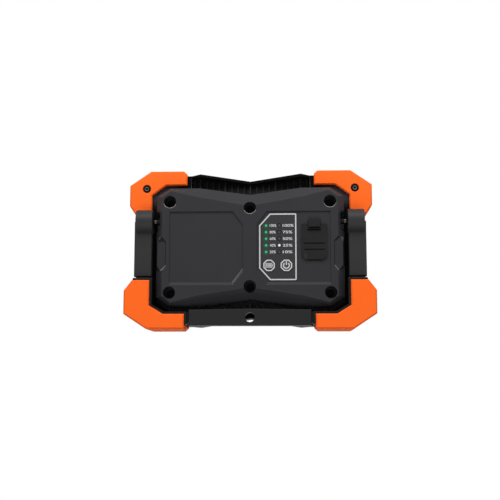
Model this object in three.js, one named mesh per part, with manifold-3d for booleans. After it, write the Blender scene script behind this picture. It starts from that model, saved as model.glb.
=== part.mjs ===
// Rechargeable LED work light with a power bank, a fold-out stand and corner bumpers.
//
// Millimetres, +Z up. The light shines towards +Y, the controls face -Y, and X runs across it.
// The shapes are drawn about the middle of the housing, and the whole light is then raised
// by half its height, so that it stands on z = 0 with its stand folded in.

import * as THREE from 'three';
import { mergeVertices } from 'three/addons/utils/BufferGeometryUtils.js';
import Module from 'manifold-3d';

const wasm = await Module();
wasm.setup();

// ---------------------------------------------------------------- driving dimensions

// Housing, over its corner bumpers.
const WIDTH = 194.4;
const HEIGHT = 128;

// Fits.
const FIT = 0.3;                      // gap round a piece that sits in a neighbour
const SEAT_GAP = 0.8;                 // gap left in front of and behind the battery cells
const SLIDE = 0.3;                    // gap round a button in its hole

// Frame and bezel outline.
const NOTCH = 5.8;                    // dip at the middle of the top and bottom edges
const NOTCH_WING = 40.5;              // distance from the middle at which the dip ends
const WING_CREST = [0.6, 7];          // small crest beside the dip: its height and its fall
const HEAD_CROWN = 1;                 // how much higher the frame's top edge is than its foot's
const CORNER_RUN = [15.2, 9.9];       // corner chamfer, across and up
const SIDE_RELIEF = 3;                // how far the sides draw in between the bumpers
const FRAME_WALL = 3;
const SLOT_WALL = 1.4;                // frame's wall beyond the cooling slots
const SLOT_END = 3.4;                 // from the bumpers' ends to the slots' ends
const BEZEL_BAND = [19.7, 14.5];       // width of the bezel at its sides and at top and bottom
const WINDOW_RUN = [14, 11];          // corner chamfer of the window

// Frame bumpers.
const BUMPER_WALL = 3.5;
const BUMPER_LIP = 3;                 // how far the bumpers stand proud of the frame's back
const BUMPER_NOSE = 2;                // how far they stand proud of the bezel
const BUMPER_BAND = [18, 11.8];       // leg widths: the upright leg and the level leg
const BUMPER_REACH = [46.2, 35.4];    // leg lengths: across and down
const BUMPER_RUN = [11.4, 8.2];       // chamfer of the inner corner
const BUMPER_TOE = [4.6, 7];          // chamfer at the foot of the upright leg
const BUMPER_TIP = [2.8, 2.5];        // chamfer at the end of the level leg
const BUMPER_SCREW_INSET = [13.6, 14.4];
const BUMPER_SCREW_HEAD = 2.4;        // radius of the bumper screws' heads
const BUMPER_RECESS_RADIUS = 3.4;

// Layers from the heat sink's back to the bezel's front.
const PLATE_BACK_Y = 3;
const PLATE = 3;
const REFLECTOR_DEPTH = 7.5;
const REFLECTOR_WALL = 1.2;
const REFLECTOR_RUN = 13;             // how far the reflector's sides lean in
const LENS = 3;
const GASKET = 1;
const BEZEL_FACE = 4;
const FRAME_BACK_Y = -1;

// Heat-sink fins in the slots above and below the rear cover.
const FIN = 1.2;
const FIN_PITCH = 5;
const FINS_PER_RIB = 4;               // every fourth fin is a tall rib
const RIB_DEPTH = 10;
const FIN_DEPTH = 4;
const WIRE_HOLE_RADIUS = 3;

// LED modules.
const MODULE_SIZE = [40, 26];
const MODULE_THICKNESS = 1.2;
const EMITTER_SIZE = [32, 18];
const EMITTER_THICKNESS = 0.5;
const MODULE_X = 34;

// Rear cover.
const COVER_WALL = 2.5;
const COVER_FACE_WALL = 3;
const COVER_GAP = [5.2, 4.2];         // gap to the bumpers' inner edges, at the sides and top
const COVER_FOOT_LIFT = 2;            // how much shorter the cover is below than above
const COVER_DIP = 5.6;                // dip at the middle of the cover's top and bottom edges
const COVER_RUN = [10.5, 7];          // corner chamfer of the cover
const SLOPE_DEPTH = 8;                // how far the sloped border runs forward from the face
const FACE_INSET = [4.6, 3];          // face edge inside the cover's edge, at the corners
const FACE_FOOT_INSET = 0.4;          // how much further in the face's edge is below the hollows
const FACE_DIP = [12.4, 5.2];         // dip of the face's edge at the middle and at the wings
const WAIST_INSET = 8;                // finger hollow in each side: how far in
const WAIST_SPAN = [4, -14.5];        // and from where to where
const WAIST_RAMP = 4;
const WAIST_DEPTH = 2.4;              // depth of the hollow's outer edge behind the face
const WAIST_LIP = 1.6;                // from that edge to the cover's edge
const OPENING_GAP = 0.9;              // gap between the cover and the frame round it

// Cover screws, at the bottom of deep recesses.
const SCREW_INSET = [11.3, 12.2];     // corner screws from the cover's edges
const MIDDLE_SCREW_INSET = 17;        // middle screws from the cover's corner height
const RECESS_RADIUS = 4.85;
const RECESS_DEPTH = 12;
const RECESS_WALL = 1.2;
const SCREW_RADIUS = 1.5;
const SCREW_HEAD = [2.8, 2.2];        // radius and height

// Recessed panels on the cover's face.
const PANEL_DEPTH = 1;
const PANEL_SILL = 2.1;               // width of the slope at a panel's lower edge
const PANEL_INNER_X = 5.4;
const PANEL_CLEARANCE = 7.9;          // panel edge to the corner screws' centres
const PANEL_RUN = [7.9, 10.5];

// Control area in the right panel.
const LABEL_WIDTH = 30.4;
const LABEL_THICKNESS = 0.25;
const LABEL_MARGIN = 1.2;
const LABEL_RUN = [8.4, 9.4];
const LAMP_RADIUS = 1.5;
const LAMP_COUNT = 5;
const LAMP_PITCH = 5.2;
const LAMP_TOP_INSET = 11.4;          // first lamp below the panel's top edge
const LEVEL_LAMP_INSET = 6.1;         // lamp columns from the label's inner edge
const MODE_LAMP_INSET = 16.4;
const GUIDE_WIDTH = 4.4;
const BUTTON_SIZE = 8.8;              // across the flats
const BUTTON_PROUD = 0.6;
const BUTTON_FLANGE = 1.5;
const BUTTON_TRAVEL = 0.5;
const BUTTON_INSET = [8.4, 21.8];     // from the label's inner edge
const BUTTON_BOTTOM_INSET = 13;       // above the panel's bottom edge

// Control board.
const BOARD = 1.6;
const STANDOFF = 4;
const STANDOFF_RADIUS = 2.4;
const BOARD_MARGIN = 3.9;
const BOARD_SCREW_INSET = 3.2;
const BOARD_SCREW_RADIUS = 1.1;
const BOARD_SCREW_HEAD = [2, 1.4];
const SWITCH_SIZE = 6;
const SWITCH_HEIGHT = 2;

// USB ports: outer width, outer height and depth.
const OUTPUT_PORT = [13.2, 5.8, 13.7];
const INPUT_PORT = [9.2, 3.4, 10.7];
const PORT_SHELL = 0.5;
const OUTPUT_PORT_Z = 7.5;
const INPUT_PORT_Z = -3.6;

// Rubber port cover.
const FLAP_WIDTH = 20.2;
const FLAP_THICKNESS = 1.4;
const FLAP_INSET = 2.6;               // from the panel's outer edge
const FLAP_TOP = 17.3;
const FLAP_BOTTOM = -10.6;
const FLAP_CORNER = 3;
const FLAP_LIFT = 0.2;                // gap between the flap and the panel
const TAB_SIZE = [9.7, 8.5];
const TAB_RISE = 4.6;                 // how far the tab reaches past the flap
const TAB_PROUD = 1.6;
const ANCHOR_SIZE = [10, 1.8];

// Battery.
const CELL_DIAMETER = 18.4;
const CELL_LENGTH = 65.2;
const HOLDER_WALL = 2;
const HOLDER_DEPTH = 13;
const TAB_STRIP = 0.4;

// Stand.
const ARM_GAP = 2.6;                  // between the cover and the knuckles
const KNUCKLE_WIDTH = 12.8;
const KNUCKLE_RADIUS = 9.6;
const PIVOT_BELOW_BUMPER = 7.9;
const PIVOT_DEPTH = 7.2;              // pivot axis in front of the cover's face
const ARM_EASE = [0.6, -1.5];         // how far the arms' sides lie inside the knuckles' ends
const ARM_THICKNESS = 9;
const ARM_BACK = 4;                   // arm's back face in front of the cover's face
const NECK_EASE = 1.8;                // grooves round the arms' and bar's ends
const GROOVE = 1.5;
const STAND_BUMPER_OUT = 0.45;        // stand bumpers stand outside the frame's by this
const STAND_BUMPER_BACK = 2.5;        // and behind the cover's face by this
const STAND_BUMPER_DEPTH = 17;
const STAND_BUMPER_WALL = 3.8;
const STAND_BUMPER_SKIN = 2;          // thickness of its back and front plates
const STAND_BUMPER_BAND = [19.8, 11.7];
const STAND_BUMPER_REACH = [46.95, 37.9];
const STAND_BUMPER_RUN = [10.6, 6.5];
const STAND_BUMPER_TOE = [6.3, 8.1];
const STAND_BUMPER_CORNER = [17.7, 11.7];
const CORE_RIM = 1.8;                 // black core that shows along the bumper's inner edge
const BAR_HEIGHT = 12.3;
const BAR_LIFT = 2.7;                 // bar's lower edge above the bumpers' soles
const BAR_ARCH = 0.7;
const BAR_DEPTH = 11.5;
const HANG_HOLE_RADIUS = 3.8;
const HANG_HOLE_DROP = 6.6;           // hole's centre below the bar's upper edge

// Pivots.
const BOLT_RADIUS = 2;
const BOLT_HEAD = [4.5, 2.4];
const BOLT_SOCKET = [1.9, 1.4];
const BOLT_SUNK = 0.5;                // bolt head below the knuckle's outer face
const BUSH_WALL = 0.9;
const WASHER = 0.4;
const INSERT_LENGTH = 7;
const INSERT_WALL = 0.8;
const PIVOT_POCKET = [8, 3.3];        // radius and depth of the hollow round each bolt
const PIVOT_BOSS_WALL = 2.4;

// Edge breaks.
const SOFT_EDGE = 1;
const FINE_EDGE = 0.6;
const CUT_PAST = 1;                   // how far a cutting tool runs past the surface it cuts

// ---------------------------------------------------------------- outlines, as [x, z] points

// A whole outline from its upper right quarter, listed from the top middle to the right side.
function fromQuarter(quarter) {
  const lower = quarter.map(([x, z]) => [x, -z]).reverse();
  return fromHalf([...quarter, ...lower]);
}

// A whole outline from its right half, listed from top to bottom.
function fromHalf(half) {
  const left = half.filter(([x]) => x > 0).map(([x, z]) => [-x, z]).reverse();
  return [...half, ...left];
}

function mirrorX(outline) {
  return outline.map(([x, z]) => [-x, z]).reverse();
}

function mirrorZ(outline) {
  return outline.map(([x, z]) => [x, -z]).reverse();
}

function signedArea(outline) {
  return outline.reduce((sum, [x, z], i) => {
    const [nextX, nextZ] = outline[(i + 1) % outline.length];
    return sum + (x * nextZ - nextX * z) / 2;
  }, 0);
}

// The outline with every edge moved outwards by the distance, or inwards where it is negative.
function grow(outline, distance) {
  const turn = Math.sign(signedArea(outline));
  const edgeNormal = (a, b) => {
    const length = Math.hypot(b[0] - a[0], b[1] - a[1]);
    return [turn * (b[1] - a[1]) / length, -turn * (b[0] - a[0]) / length];
  };
  return outline.map((point, i) => {
    const before = edgeNormal(outline.at(i - 1), point);
    const after = edgeNormal(point, outline[(i + 1) % outline.length]);
    const scale = distance / (1 + before[0] * after[0] + before[1] * after[1]);
    return [point[0] + scale * (before[0] + after[0]), point[1] + scale * (before[1] + after[1])];
  });
}

// A rectangle with chamfered corners and a shallow V in its top and bottom edges.
function butterfly(halfWidth, halfHeight, notch, [across, up]) {
  return fromQuarter([
    [0, halfHeight - notch],
    [NOTCH_WING, halfHeight],
    [halfWidth - across, halfHeight],
    [halfWidth, halfHeight - up],
  ]);
}

function rectangle(width, height, [x, z]) {
  return [
    [x - width / 2, z - height / 2], [x + width / 2, z - height / 2],
    [x + width / 2, z + height / 2], [x - width / 2, z + height / 2],
  ];
}

// A regular outline with the given distance across its flats.
function regular(sides, acrossFlats, [x, z]) {
  const radius = acrossFlats / 2 / Math.cos(Math.PI / sides);
  return Array.from({ length: sides }, (_, i) => {
    const angle = (2 * Math.PI * (i + 0.5)) / sides;
    return [x + radius * Math.cos(angle), z + radius * Math.sin(angle)];
  });
}

// Height of an outline's upper edge, listed from the middle outwards, at a distance from the middle.
function heightAt(edge, x) {
  const i = edge.findIndex(([end]) => end >= x);
  const [[startX, startZ], [endX, endZ]] = [edge[Math.max(i - 1, 0)], edge[i]];
  return startX === endX ? endZ : startZ + (endZ - startZ) * (x - startX) / (endX - startX);
}

// ---------------------------------------------------------------- solids

// A closed body through outlines with the same number of points, from back to front:
// loft([y, outline], [y, outline], ...).
function loft(...sections) {
  const count = sections[0][1].length;
  const positions = sections.flatMap(([y, outline]) => {
    const counterClockwise = signedArea(outline) > 0 ? outline : [...outline].reverse();
    return counterClockwise.flatMap(([x, z]) => [x, y, z]);
  });
  const faces = [];
  const pointAt = (i) => new THREE.Vector2(positions[3 * i], positions[3 * i + 2]);
  const addCap = (first, facesBack) => {
    const contour = Array.from({ length: count }, (_, i) => pointAt(first + i));
    for (const [a, b, c] of THREE.ShapeUtils.triangulateShape(contour, [])) {
      const area = THREE.ShapeUtils.area([contour[a], contour[b], contour[c]]);
      const ring = (area > 0) === facesBack ? [a, b, c] : [a, c, b];
      faces.push(...ring.map((i) => first + i));
    }
  };
  for (let s = 0; s + 1 < sections.length; s += 1) {
    for (let i = 0; i < count; i += 1) {
      const [a, b] = [s * count + i, s * count + (i + 1) % count];
      faces.push(a, b + count, b, a, a + count, b + count);
    }
  }
  addCap(0, true);
  addCap((sections.length - 1) * count, false);
  const geometry = new THREE.BufferGeometry();
  geometry.setAttribute('position', new THREE.Float32BufferAttribute(positions, 3));
  geometry.setIndex(faces);
  return solid(geometry);
}

// A prism between two depths, with its back and front edges broken by the given amounts.
function plate(outline, back, front, backEdge = 0, frontEdge = 0) {
  const sections = [[back, backEdge ? grow(outline, -backEdge) : outline]];
  if (backEdge) sections.push([back + backEdge, outline]);
  if (frontEdge) sections.push([front - frontEdge, outline]);
  sections.push([front, frontEdge ? grow(outline, -frontEdge) : outline]);
  return loft(...sections);
}

function block([x0, x1], [y0, y1], [z0, z1]) {
  const geometry = new THREE.BoxGeometry(Math.abs(x1 - x0), Math.abs(y1 - y0), Math.abs(z1 - z0));
  return solid(geometry.translate((x0 + x1) / 2, (y0 + y1) / 2, (z0 + z1) / 2));
}

// A round bar along one axis, from one place on that axis to another, through a point.
function rod(axis, radius, from, to, point, sides = 24) {
  const geometry = new THREE.CylinderGeometry(radius, radius, Math.abs(to - from), sides);
  if (axis === 'x') geometry.rotateZ(-Math.PI / 2);
  if (axis === 'z') geometry.rotateX(Math.PI / 2);
  const middle = (from + to) / 2;
  const at = { x: point[0], y: point[1], z: point[2], [axis]: middle };
  return solid(geometry.translate(at.x, at.y, at.z));
}

// A closed three.js geometry as a solid that can be joined and cut.
function solid(geometry) {
  geometry.deleteAttribute('normal');
  geometry.deleteAttribute('uv');
  const merged = mergeVertices(geometry, 1e-5);
  const vertProperties = new Float32Array(merged.attributes.position.array);
  const triVerts = new Uint32Array(merged.index.array);
  return new wasm.Manifold(new wasm.Mesh({ numProp: 3, vertProperties, triVerts }));
}

function join(solids) {
  return solids.reduce((whole, piece) => whole.add(piece));
}

function cut(body, tools) {
  return tools.reduce((rest, tool) => rest.subtract(tool), body);
}

function geometryOf(body) {
  const { vertProperties, triVerts } = body.getMesh();
  const geometry = new THREE.BufferGeometry();
  geometry.setAttribute('position', new THREE.BufferAttribute(new Float32Array(vertProperties), 3));
  geometry.setIndex(new THREE.BufferAttribute(new Uint32Array(triVerts), 1));
  geometry.computeVertexNormals();
  return geometry;
}

// ---------------------------------------------------------------- the light

const light = new THREE.Group();

const finishes = {
  blackPlastic: [0x3c3c3e, 0.6, 0],
  orangeRubber: [0xff6a1c, 0.65, 0],
  blackRubber: [0x2c2c2e, 0.85, 0],
  anodised: [0x2a2a2c, 0.5, 0.7],
  steel: [0xb8babd, 0.35, 0.9],
  brass: [0xc09a52, 0.35, 0.9],
  clearPlastic: [0xe6eef2, 0.1, 0],
  whitePlastic: [0xe8e8e6, 0.4, 0],
  phosphor: [0xf2d24a, 0.6, 0],
  circuitBoard: [0x1f5a35, 0.6, 0],
  cellWrap: [0x2f6fb0, 0.5, 0],
  greenLamp: [0x2fc27a, 0.4, 0],
  labelFilm: [0x303032, 0.5, 0],
};

function addPart(name, finish, body) {
  const [color, roughness, metalness] = finishes[finish];
  const material = new THREE.MeshStandardMaterial({ color, roughness, metalness });
  const mesh = new THREE.Mesh(geometryOf(body), material);
  mesh.name = name;
  light.add(mesh);
}

// Left is -X and right is +X, seen from the control side.
const sides = [['left', -1], ['right', 1]];

// ---------------------------------------------------------------- depths

const plateFrontY = PLATE_BACK_Y + PLATE;
const reflectorFrontY = plateFrontY + REFLECTOR_DEPTH;
const lensFrontY = reflectorFrontY + LENS;
const bezelInnerY = lensFrontY + GASKET;
const bezelFrontY = bezelInnerY + BEZEL_FACE;
const splitY = reflectorFrontY - REFLECTOR_WALL;
const coverRimY = PLATE_BACK_Y - GASKET;
const cellY = PLATE_BACK_Y - SEAT_GAP - CELL_DIAMETER / 2;
const coverInnerY = cellY - CELL_DIAMETER / 2 - SEAT_GAP;
const faceY = coverInnerY - COVER_FACE_WALL;
const rootY = faceY + SLOPE_DEPTH;
const panelY = faceY + PANEL_DEPTH;

// ---------------------------------------------------------------- main frame and bezel

const edgeX = WIDTH / 2 - BUMPER_WALL;
const edgeZ = HEIGHT / 2 - BUMPER_WALL;
const bumperInnerX = WIDTH / 2 - BUMPER_BAND[0];
const bumperInnerZ = HEIGHT / 2 - BUMPER_BAND[1];
const bumperEndX = WIDTH / 2 - BUMPER_REACH[0];
const bumperEndZ = HEIGHT / 2 - BUMPER_REACH[1];

const frameSide = [
  [edgeX - CORNER_RUN[0], edgeZ],
  [edgeX, edgeZ - CORNER_RUN[1]],
  [edgeX, bumperEndZ + SIDE_RELIEF],
  [edgeX - SIDE_RELIEF, bumperEndZ],
];
const frameEdge = (crown) => [
  [0, edgeZ - NOTCH + crown],
  [NOTCH_WING, edgeZ + WING_CREST[0] + crown],
  [NOTCH_WING + WING_CREST[1], edgeZ],
  ...frameSide,
];
const frameOutline = fromHalf([
  ...frameEdge(HEAD_CROWN),
  ...frameEdge(0).map(([x, z]) => [x, -z]).reverse(),
]);
const cavityX = edgeX - SIDE_RELIEF - FRAME_WALL;
const cavityOutline = butterfly(cavityX, edgeZ - FRAME_WALL, NOTCH, [17.5, 16.5]);

// The rear opening follows the cover's edge, and has a cooling slot above and below the cover.
const coverX = bumperInnerX - COVER_GAP[0];
const coverZ = bumperInnerZ - COVER_GAP[1];
const slotX = bumperEndX - SLOT_END;
const slotEdge = [
  [0, edgeZ - NOTCH - SLOT_WALL],
  [NOTCH_WING, edgeZ + WING_CREST[0] - SLOT_WALL],
  [slotX, edgeZ - SLOT_WALL],
];
const finEdge = [
  [0, edgeZ - NOTCH - FRAME_WALL],
  [NOTCH_WING, edgeZ - FRAME_WALL],
  [slotX, edgeZ - FRAME_WALL],
];
const openingOutline = fromQuarter([
  ...slotEdge,
  [slotX, coverZ + OPENING_GAP],
  [coverX - COVER_RUN[0] + OPENING_GAP, coverZ + OPENING_GAP],
  [coverX + OPENING_GAP, coverZ - COVER_RUN[1] + OPENING_GAP],
]);

const bumperScrewX = WIDTH / 2 - BUMPER_SCREW_INSET[0];
const bumperScrewZ = HEIGHT / 2 - BUMPER_SCREW_INSET[1];
const bumperScrewTipY = bezelInnerY - FIT;
const corners = [
  ['upper_left', -1, 1], ['upper_right', 1, 1], ['lower_left', -1, -1], ['lower_right', 1, -1],
];
const bumperScrewHoles = corners.map(([, sx, sz]) => rod(
  'y', SCREW_RADIUS + FIT, FRAME_BACK_Y - BUMPER_LIP, bumperScrewTipY + FIT,
  [sx * bumperScrewX, 0, sz * bumperScrewZ], 12,
));

addPart('main_frame', 'blackPlastic', cut(
  plate(frameOutline, FRAME_BACK_Y, splitY, FINE_EDGE, 0),
  [
    plate(openingOutline, FRAME_BACK_Y - CUT_PAST, PLATE_BACK_Y),
    plate(cavityOutline, PLATE_BACK_Y, splitY + CUT_PAST),
    ...bumperScrewHoles,
  ],
));

const windowOutline = butterfly(
  edgeX - BEZEL_BAND[0], edgeZ - BEZEL_BAND[1], NOTCH, WINDOW_RUN,
);
addPart('front_bezel', 'blackPlastic', cut(
  plate(frameOutline, splitY, bezelFrontY, 0, SOFT_EDGE),
  [
    plate(cavityOutline, splitY - CUT_PAST, bezelInnerY),
    loft(
      [bezelInnerY - CUT_PAST, grow(windowOutline, -CUT_PAST / 2)],
      [bezelFrontY + CUT_PAST, grow(windowOutline, (BEZEL_FACE + CUT_PAST) / 2)],
    ),
    ...bumperScrewHoles,
  ],
));

// ---------------------------------------------------------------- lens, gasket, reflector, LEDs

addPart('lens', 'clearPlastic', plate(grow(cavityOutline, -FIT), reflectorFrontY, lensFrontY));

addPart('lens_gasket', 'blackRubber', cut(
  plate(grow(cavityOutline, -FIT), lensFrontY, bezelInnerY),
  [plate(grow(windowOutline, CUT_PAST), lensFrontY - CUT_PAST, bezelInnerY + CUT_PAST)],
));

const modulePlaces = sides.map(([side, sx]) => [side, [sx * MODULE_X, 0]]);
addPart('reflector', 'whitePlastic', cut(
  join([
    loft(
      [plateFrontY, grow(windowOutline, REFLECTOR_WALL - REFLECTOR_RUN)],
      [splitY, grow(windowOutline, REFLECTOR_WALL)],
      [reflectorFrontY, grow(windowOutline, REFLECTOR_WALL)],
    ),
    plate(grow(cavityOutline, -FIT), splitY, reflectorFrontY),
  ]),
  [
    loft(
      [plateFrontY + REFLECTOR_WALL, grow(windowOutline, -REFLECTOR_RUN)],
      [reflectorFrontY + CUT_PAST, windowOutline],
    ),
    ...modulePlaces.map(([, place]) => plate(
      rectangle(MODULE_SIZE[0] + 2 * FIT, MODULE_SIZE[1] + 2 * FIT, place),
      plateFrontY - CUT_PAST, plateFrontY + REFLECTOR_WALL + CUT_PAST,
    )),
  ],
));

const moduleFrontY = plateFrontY + MODULE_THICKNESS;
for (const [side, place] of modulePlaces) {
  addPart(`led_module_${side}`, 'anodised',
    plate(rectangle(...MODULE_SIZE, place), plateFrontY, moduleFrontY));
  addPart(`led_emitter_${side}`, 'phosphor',
    plate(rectangle(...EMITTER_SIZE, place), moduleFrontY, moduleFrontY + EMITTER_THICKNESS));
}

// ---------------------------------------------------------------- rear cover outlines

// The cover's edge and its face have matching points, so that the border between them is lofted.
const waistFoot = WAIST_SPAN[1] - WAIST_RAMP;
const waistHead = WAIST_SPAN[0] + WAIST_RAMP;
const edgeRunX = coverX - COVER_RUN[0];
const edgeRunZ = coverZ - COVER_RUN[1];
const footZ = coverZ - COVER_FOOT_LIFT;
const coverEdge = [[0, coverZ - COVER_DIP], [NOTCH_WING, coverZ], [edgeRunX, coverZ]];
const coverOutline = fromHalf([
  ...coverEdge,
  [coverX, edgeRunZ],
  [coverX, waistHead], [coverX, WAIST_SPAN[0]],
  [coverX, WAIST_SPAN[1]], [coverX, waistFoot],
  [coverX, COVER_FOOT_LIFT - edgeRunZ],
  [edgeRunX, -footZ], [NOTCH_WING, -footZ], [0, COVER_DIP - footZ],
]);
const faceX = coverX - FACE_INSET[0];
const faceZ = coverZ - FACE_INSET[1];
const faceRunX = edgeRunX - FACE_INSET[1] / 2;
const faceRunZ = edgeRunZ - FACE_INSET[1] / 2;
const faceFootZ = faceZ - COVER_FOOT_LIFT / 2;
const faceOutline = fromHalf([
  [0, faceZ - FACE_DIP[0]], [NOTCH_WING, faceZ - FACE_DIP[1]], [faceRunX, faceZ],
  [faceX, faceRunZ],
  [faceX, waistHead], [coverX - WAIST_INSET, WAIST_SPAN[0]],
  [coverX - WAIST_INSET, WAIST_SPAN[1]], [faceX - FACE_FOOT_INSET, waistFoot],
  [faceX - FACE_FOOT_INSET, COVER_FOOT_LIFT / 2 - faceRunZ],
  [faceRunX, -faceFootZ], [NOTCH_WING, FACE_DIP[1] - faceFootZ], [0, FACE_DIP[0] - faceZ],
]);

// Part of the way down the border, where only the finger hollows reach the cover's edge.
const hollowShare = WAIST_DEPTH / SLOPE_DEPTH;
const isWaist = ([, z]) => z <= WAIST_SPAN[0] && z >= WAIST_SPAN[1];
const hollowOutline = faceOutline.map(([x, z], i) => {
  const [edge, height] = coverOutline[i];
  return isWaist([x, z])
    ? [edge - Math.sign(edge) * WAIST_LIP, z]
    : [x + hollowShare * (edge - x), z + hollowShare * (height - z)];
});

// ---------------------------------------------------------------- heat sink

const screwX = coverX - SCREW_INSET[0];
const screwZ = coverZ - SCREW_INSET[1];
const middleScrewZ = coverZ - MIDDLE_SCREW_INSET;
const coverScrews = [
  ...corners.map(([name, sx, sz]) => [name, [sx * screwX, sz * screwZ]]),
  ['upper_middle', [0, middleScrewZ]],
  ['lower_middle', [0, -middleScrewZ]],
];
const recessFloorY = faceY + RECESS_DEPTH;
const coverScrewTipY = plateFrontY - FIT;

const fins = [];
const finCount = Math.floor((slotX - FIN) / FIN_PITCH);
for (let i = -finCount; i <= finCount; i += 1) {
  const x = i * FIN_PITCH;
  const depth = i % FINS_PER_RIB === 0 ? RIB_DEPTH : FIN_DEPTH;
  const low = heightAt(coverEdge, Math.abs(x)) + OPENING_GAP;
  const high = heightAt(finEdge, Math.abs(x)) - OPENING_GAP;
  for (const up of [1, -1]) {
    fins.push(block(
      [x - FIN / 2, x + FIN / 2],
      [PLATE_BACK_Y - depth, PLATE_BACK_Y + PLATE / 2],
      [up * low, up * high],
    ));
  }
}
addPart('heat_sink', 'anodised', cut(
  join([plate(grow(cavityOutline, -FIT), PLATE_BACK_Y, plateFrontY), ...fins]),
  [
    ...coverScrews.map(([, [x, z]]) => rod(
      'y', SCREW_RADIUS + FIT, PLATE_BACK_Y - CUT_PAST, plateFrontY + CUT_PAST, [x, 0, z], 12,
    )),
    rod('y', WIRE_HOLE_RADIUS, PLATE_BACK_Y - CUT_PAST, plateFrontY + CUT_PAST, [0, 0, 0], 16),
  ],
));

addPart('cover_gasket', 'blackRubber', cut(
  plate(grow(coverOutline, -FIT), coverRimY, PLATE_BACK_Y),
  [plate(grow(coverOutline, -COVER_WALL), coverRimY - CUT_PAST, PLATE_BACK_Y + CUT_PAST)],
));

// ---------------------------------------------------------------- control area places

const panelOuterX = screwX + 0.2;
const panelZ = screwZ - PANEL_CLEARANCE;
const panelOutline = [
  [PANEL_INNER_X, panelZ - PANEL_RUN[1]], [PANEL_INNER_X + PANEL_RUN[0], panelZ],
  [panelOuterX, panelZ], [panelOuterX, -panelZ],
  [PANEL_INNER_X + PANEL_RUN[0], -panelZ], [PANEL_INNER_X, PANEL_RUN[1] - panelZ],
];
const panelMouth = panelOutline.map(([x, z]) => [x, z < 0 ? z - PANEL_SILL : z]);

const labelX = PANEL_INNER_X + LABEL_MARGIN;
const labelZ = panelZ - LABEL_MARGIN;
const labelOutline = [
  [labelX, labelZ - LABEL_RUN[1]], [labelX + LABEL_RUN[0], labelZ],
  [labelX + LABEL_WIDTH - FINE_EDGE, labelZ], [labelX + LABEL_WIDTH, labelZ - FINE_EDGE],
  [labelX + LABEL_WIDTH, FINE_EDGE - labelZ], [labelX + LABEL_WIDTH - FINE_EDGE, -labelZ],
  [labelX + LABEL_RUN[0], -labelZ], [labelX, LABEL_RUN[1] - labelZ],
];

const lampRows = Array.from({ length: LAMP_COUNT },
  (_, i) => panelZ - LAMP_TOP_INSET - i * LAMP_PITCH);
const lampColumns = [
  ['level', 'greenLamp', labelX + LEVEL_LAMP_INSET],
  ['mode', 'clearPlastic', labelX + MODE_LAMP_INSET],
];
const lampPlaces = lampColumns.flatMap(([, , x]) => lampRows.map((z) => [x, z]));

const buttonZ = BUTTON_BOTTOM_INSET - panelZ;
const buttons = [
  ['battery', [labelX + BUTTON_INSET[0], buttonZ]],
  ['power', [labelX + BUTTON_INSET[1], buttonZ]],
];

const flapX = panelOuterX - FLAP_INSET - FLAP_WIDTH / 2;
const ports = [
  ['usb_output_port', OUTPUT_PORT, [flapX, OUTPUT_PORT_Z]],
  ['usb_input_port', INPUT_PORT, [flapX, INPUT_PORT_Z]],
];
const portBackY = panelY + FIT;

const flapY = panelY - FLAP_LIFT - FLAP_THICKNESS / 2;
const hingeZ = FLAP_BOTTOM + FLAP_THICKNESS / 2;

const boardBackY = coverInnerY + STANDOFF;
const boardFrontY = boardBackY + BOARD;
const bossRadius = BOLT_RADIUS + FIT + INSERT_WALL + FIT + PIVOT_BOSS_WALL;
const bossInnerX = coverX - PIVOT_POCKET[1] - INSERT_LENGTH - 2 * FIT;
const boardX = [PANEL_INNER_X + 0.6, bossInnerX - 2];
const boardZ = panelZ - BOARD_MARGIN;
const boardScrews = [
  ['upper_inner', boardX[0] + BOARD_SCREW_INSET, boardZ - BOARD_SCREW_INSET],
  ['upper_outer', boardX[1] - BOARD_SCREW_INSET, boardZ - BOARD_SCREW_INSET],
  ['lower_inner', boardX[0] + BOARD_SCREW_INSET, BOARD_SCREW_INSET - boardZ],
  ['lower_outer', boardX[1] - BOARD_SCREW_INSET, BOARD_SCREW_INSET - boardZ],
];

// ---------------------------------------------------------------- rear cover

const pivotY = faceY + PIVOT_DEPTH;
const pivotZ = bumperEndZ - PIVOT_BELOW_BUMPER;
const boltRoom = BOLT_RADIUS + FIT;
const insertRoom = boltRoom + INSERT_WALL + FIT;

const coverShell = loft(
  [faceY, grow(faceOutline, -FINE_EDGE)],
  [faceY + FINE_EDGE, faceOutline],
  [faceY + WAIST_DEPTH, hollowOutline],
  [rootY, coverOutline],
  [coverRimY, coverOutline],
);
const coverHollow = loft(
  [coverInnerY, grow(faceOutline, -COVER_WALL)],
  [rootY + COVER_WALL / 2, grow(coverOutline, -COVER_WALL)],
  [coverRimY + CUT_PAST, grow(coverOutline, -COVER_WALL)],
);
const coverBosses = [
  ...coverScrews.map(([, [x, z]]) => rod(
    'y', RECESS_RADIUS + RECESS_WALL, coverInnerY - CUT_PAST, coverRimY, [x, 0, z],
  )),
  ...sides.map(([, sx]) => rod(
    'x', bossRadius, sx * bossInnerX, sx * (coverX + CUT_PAST), [0, pivotY, pivotZ],
  )),
  ...boardScrews.map(([, x, z]) => rod(
    'y', STANDOFF_RADIUS, coverInnerY - CUT_PAST, boardBackY, [x, 0, z], 12,
  )),
];
const panelRecess = loft(
  [faceY - CUT_PAST, panelMouth], [faceY, panelMouth], [panelY, panelOutline],
);
const throughFace = (outline) => plate(outline, faceY - CUT_PAST, coverInnerY + CUT_PAST);
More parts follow.
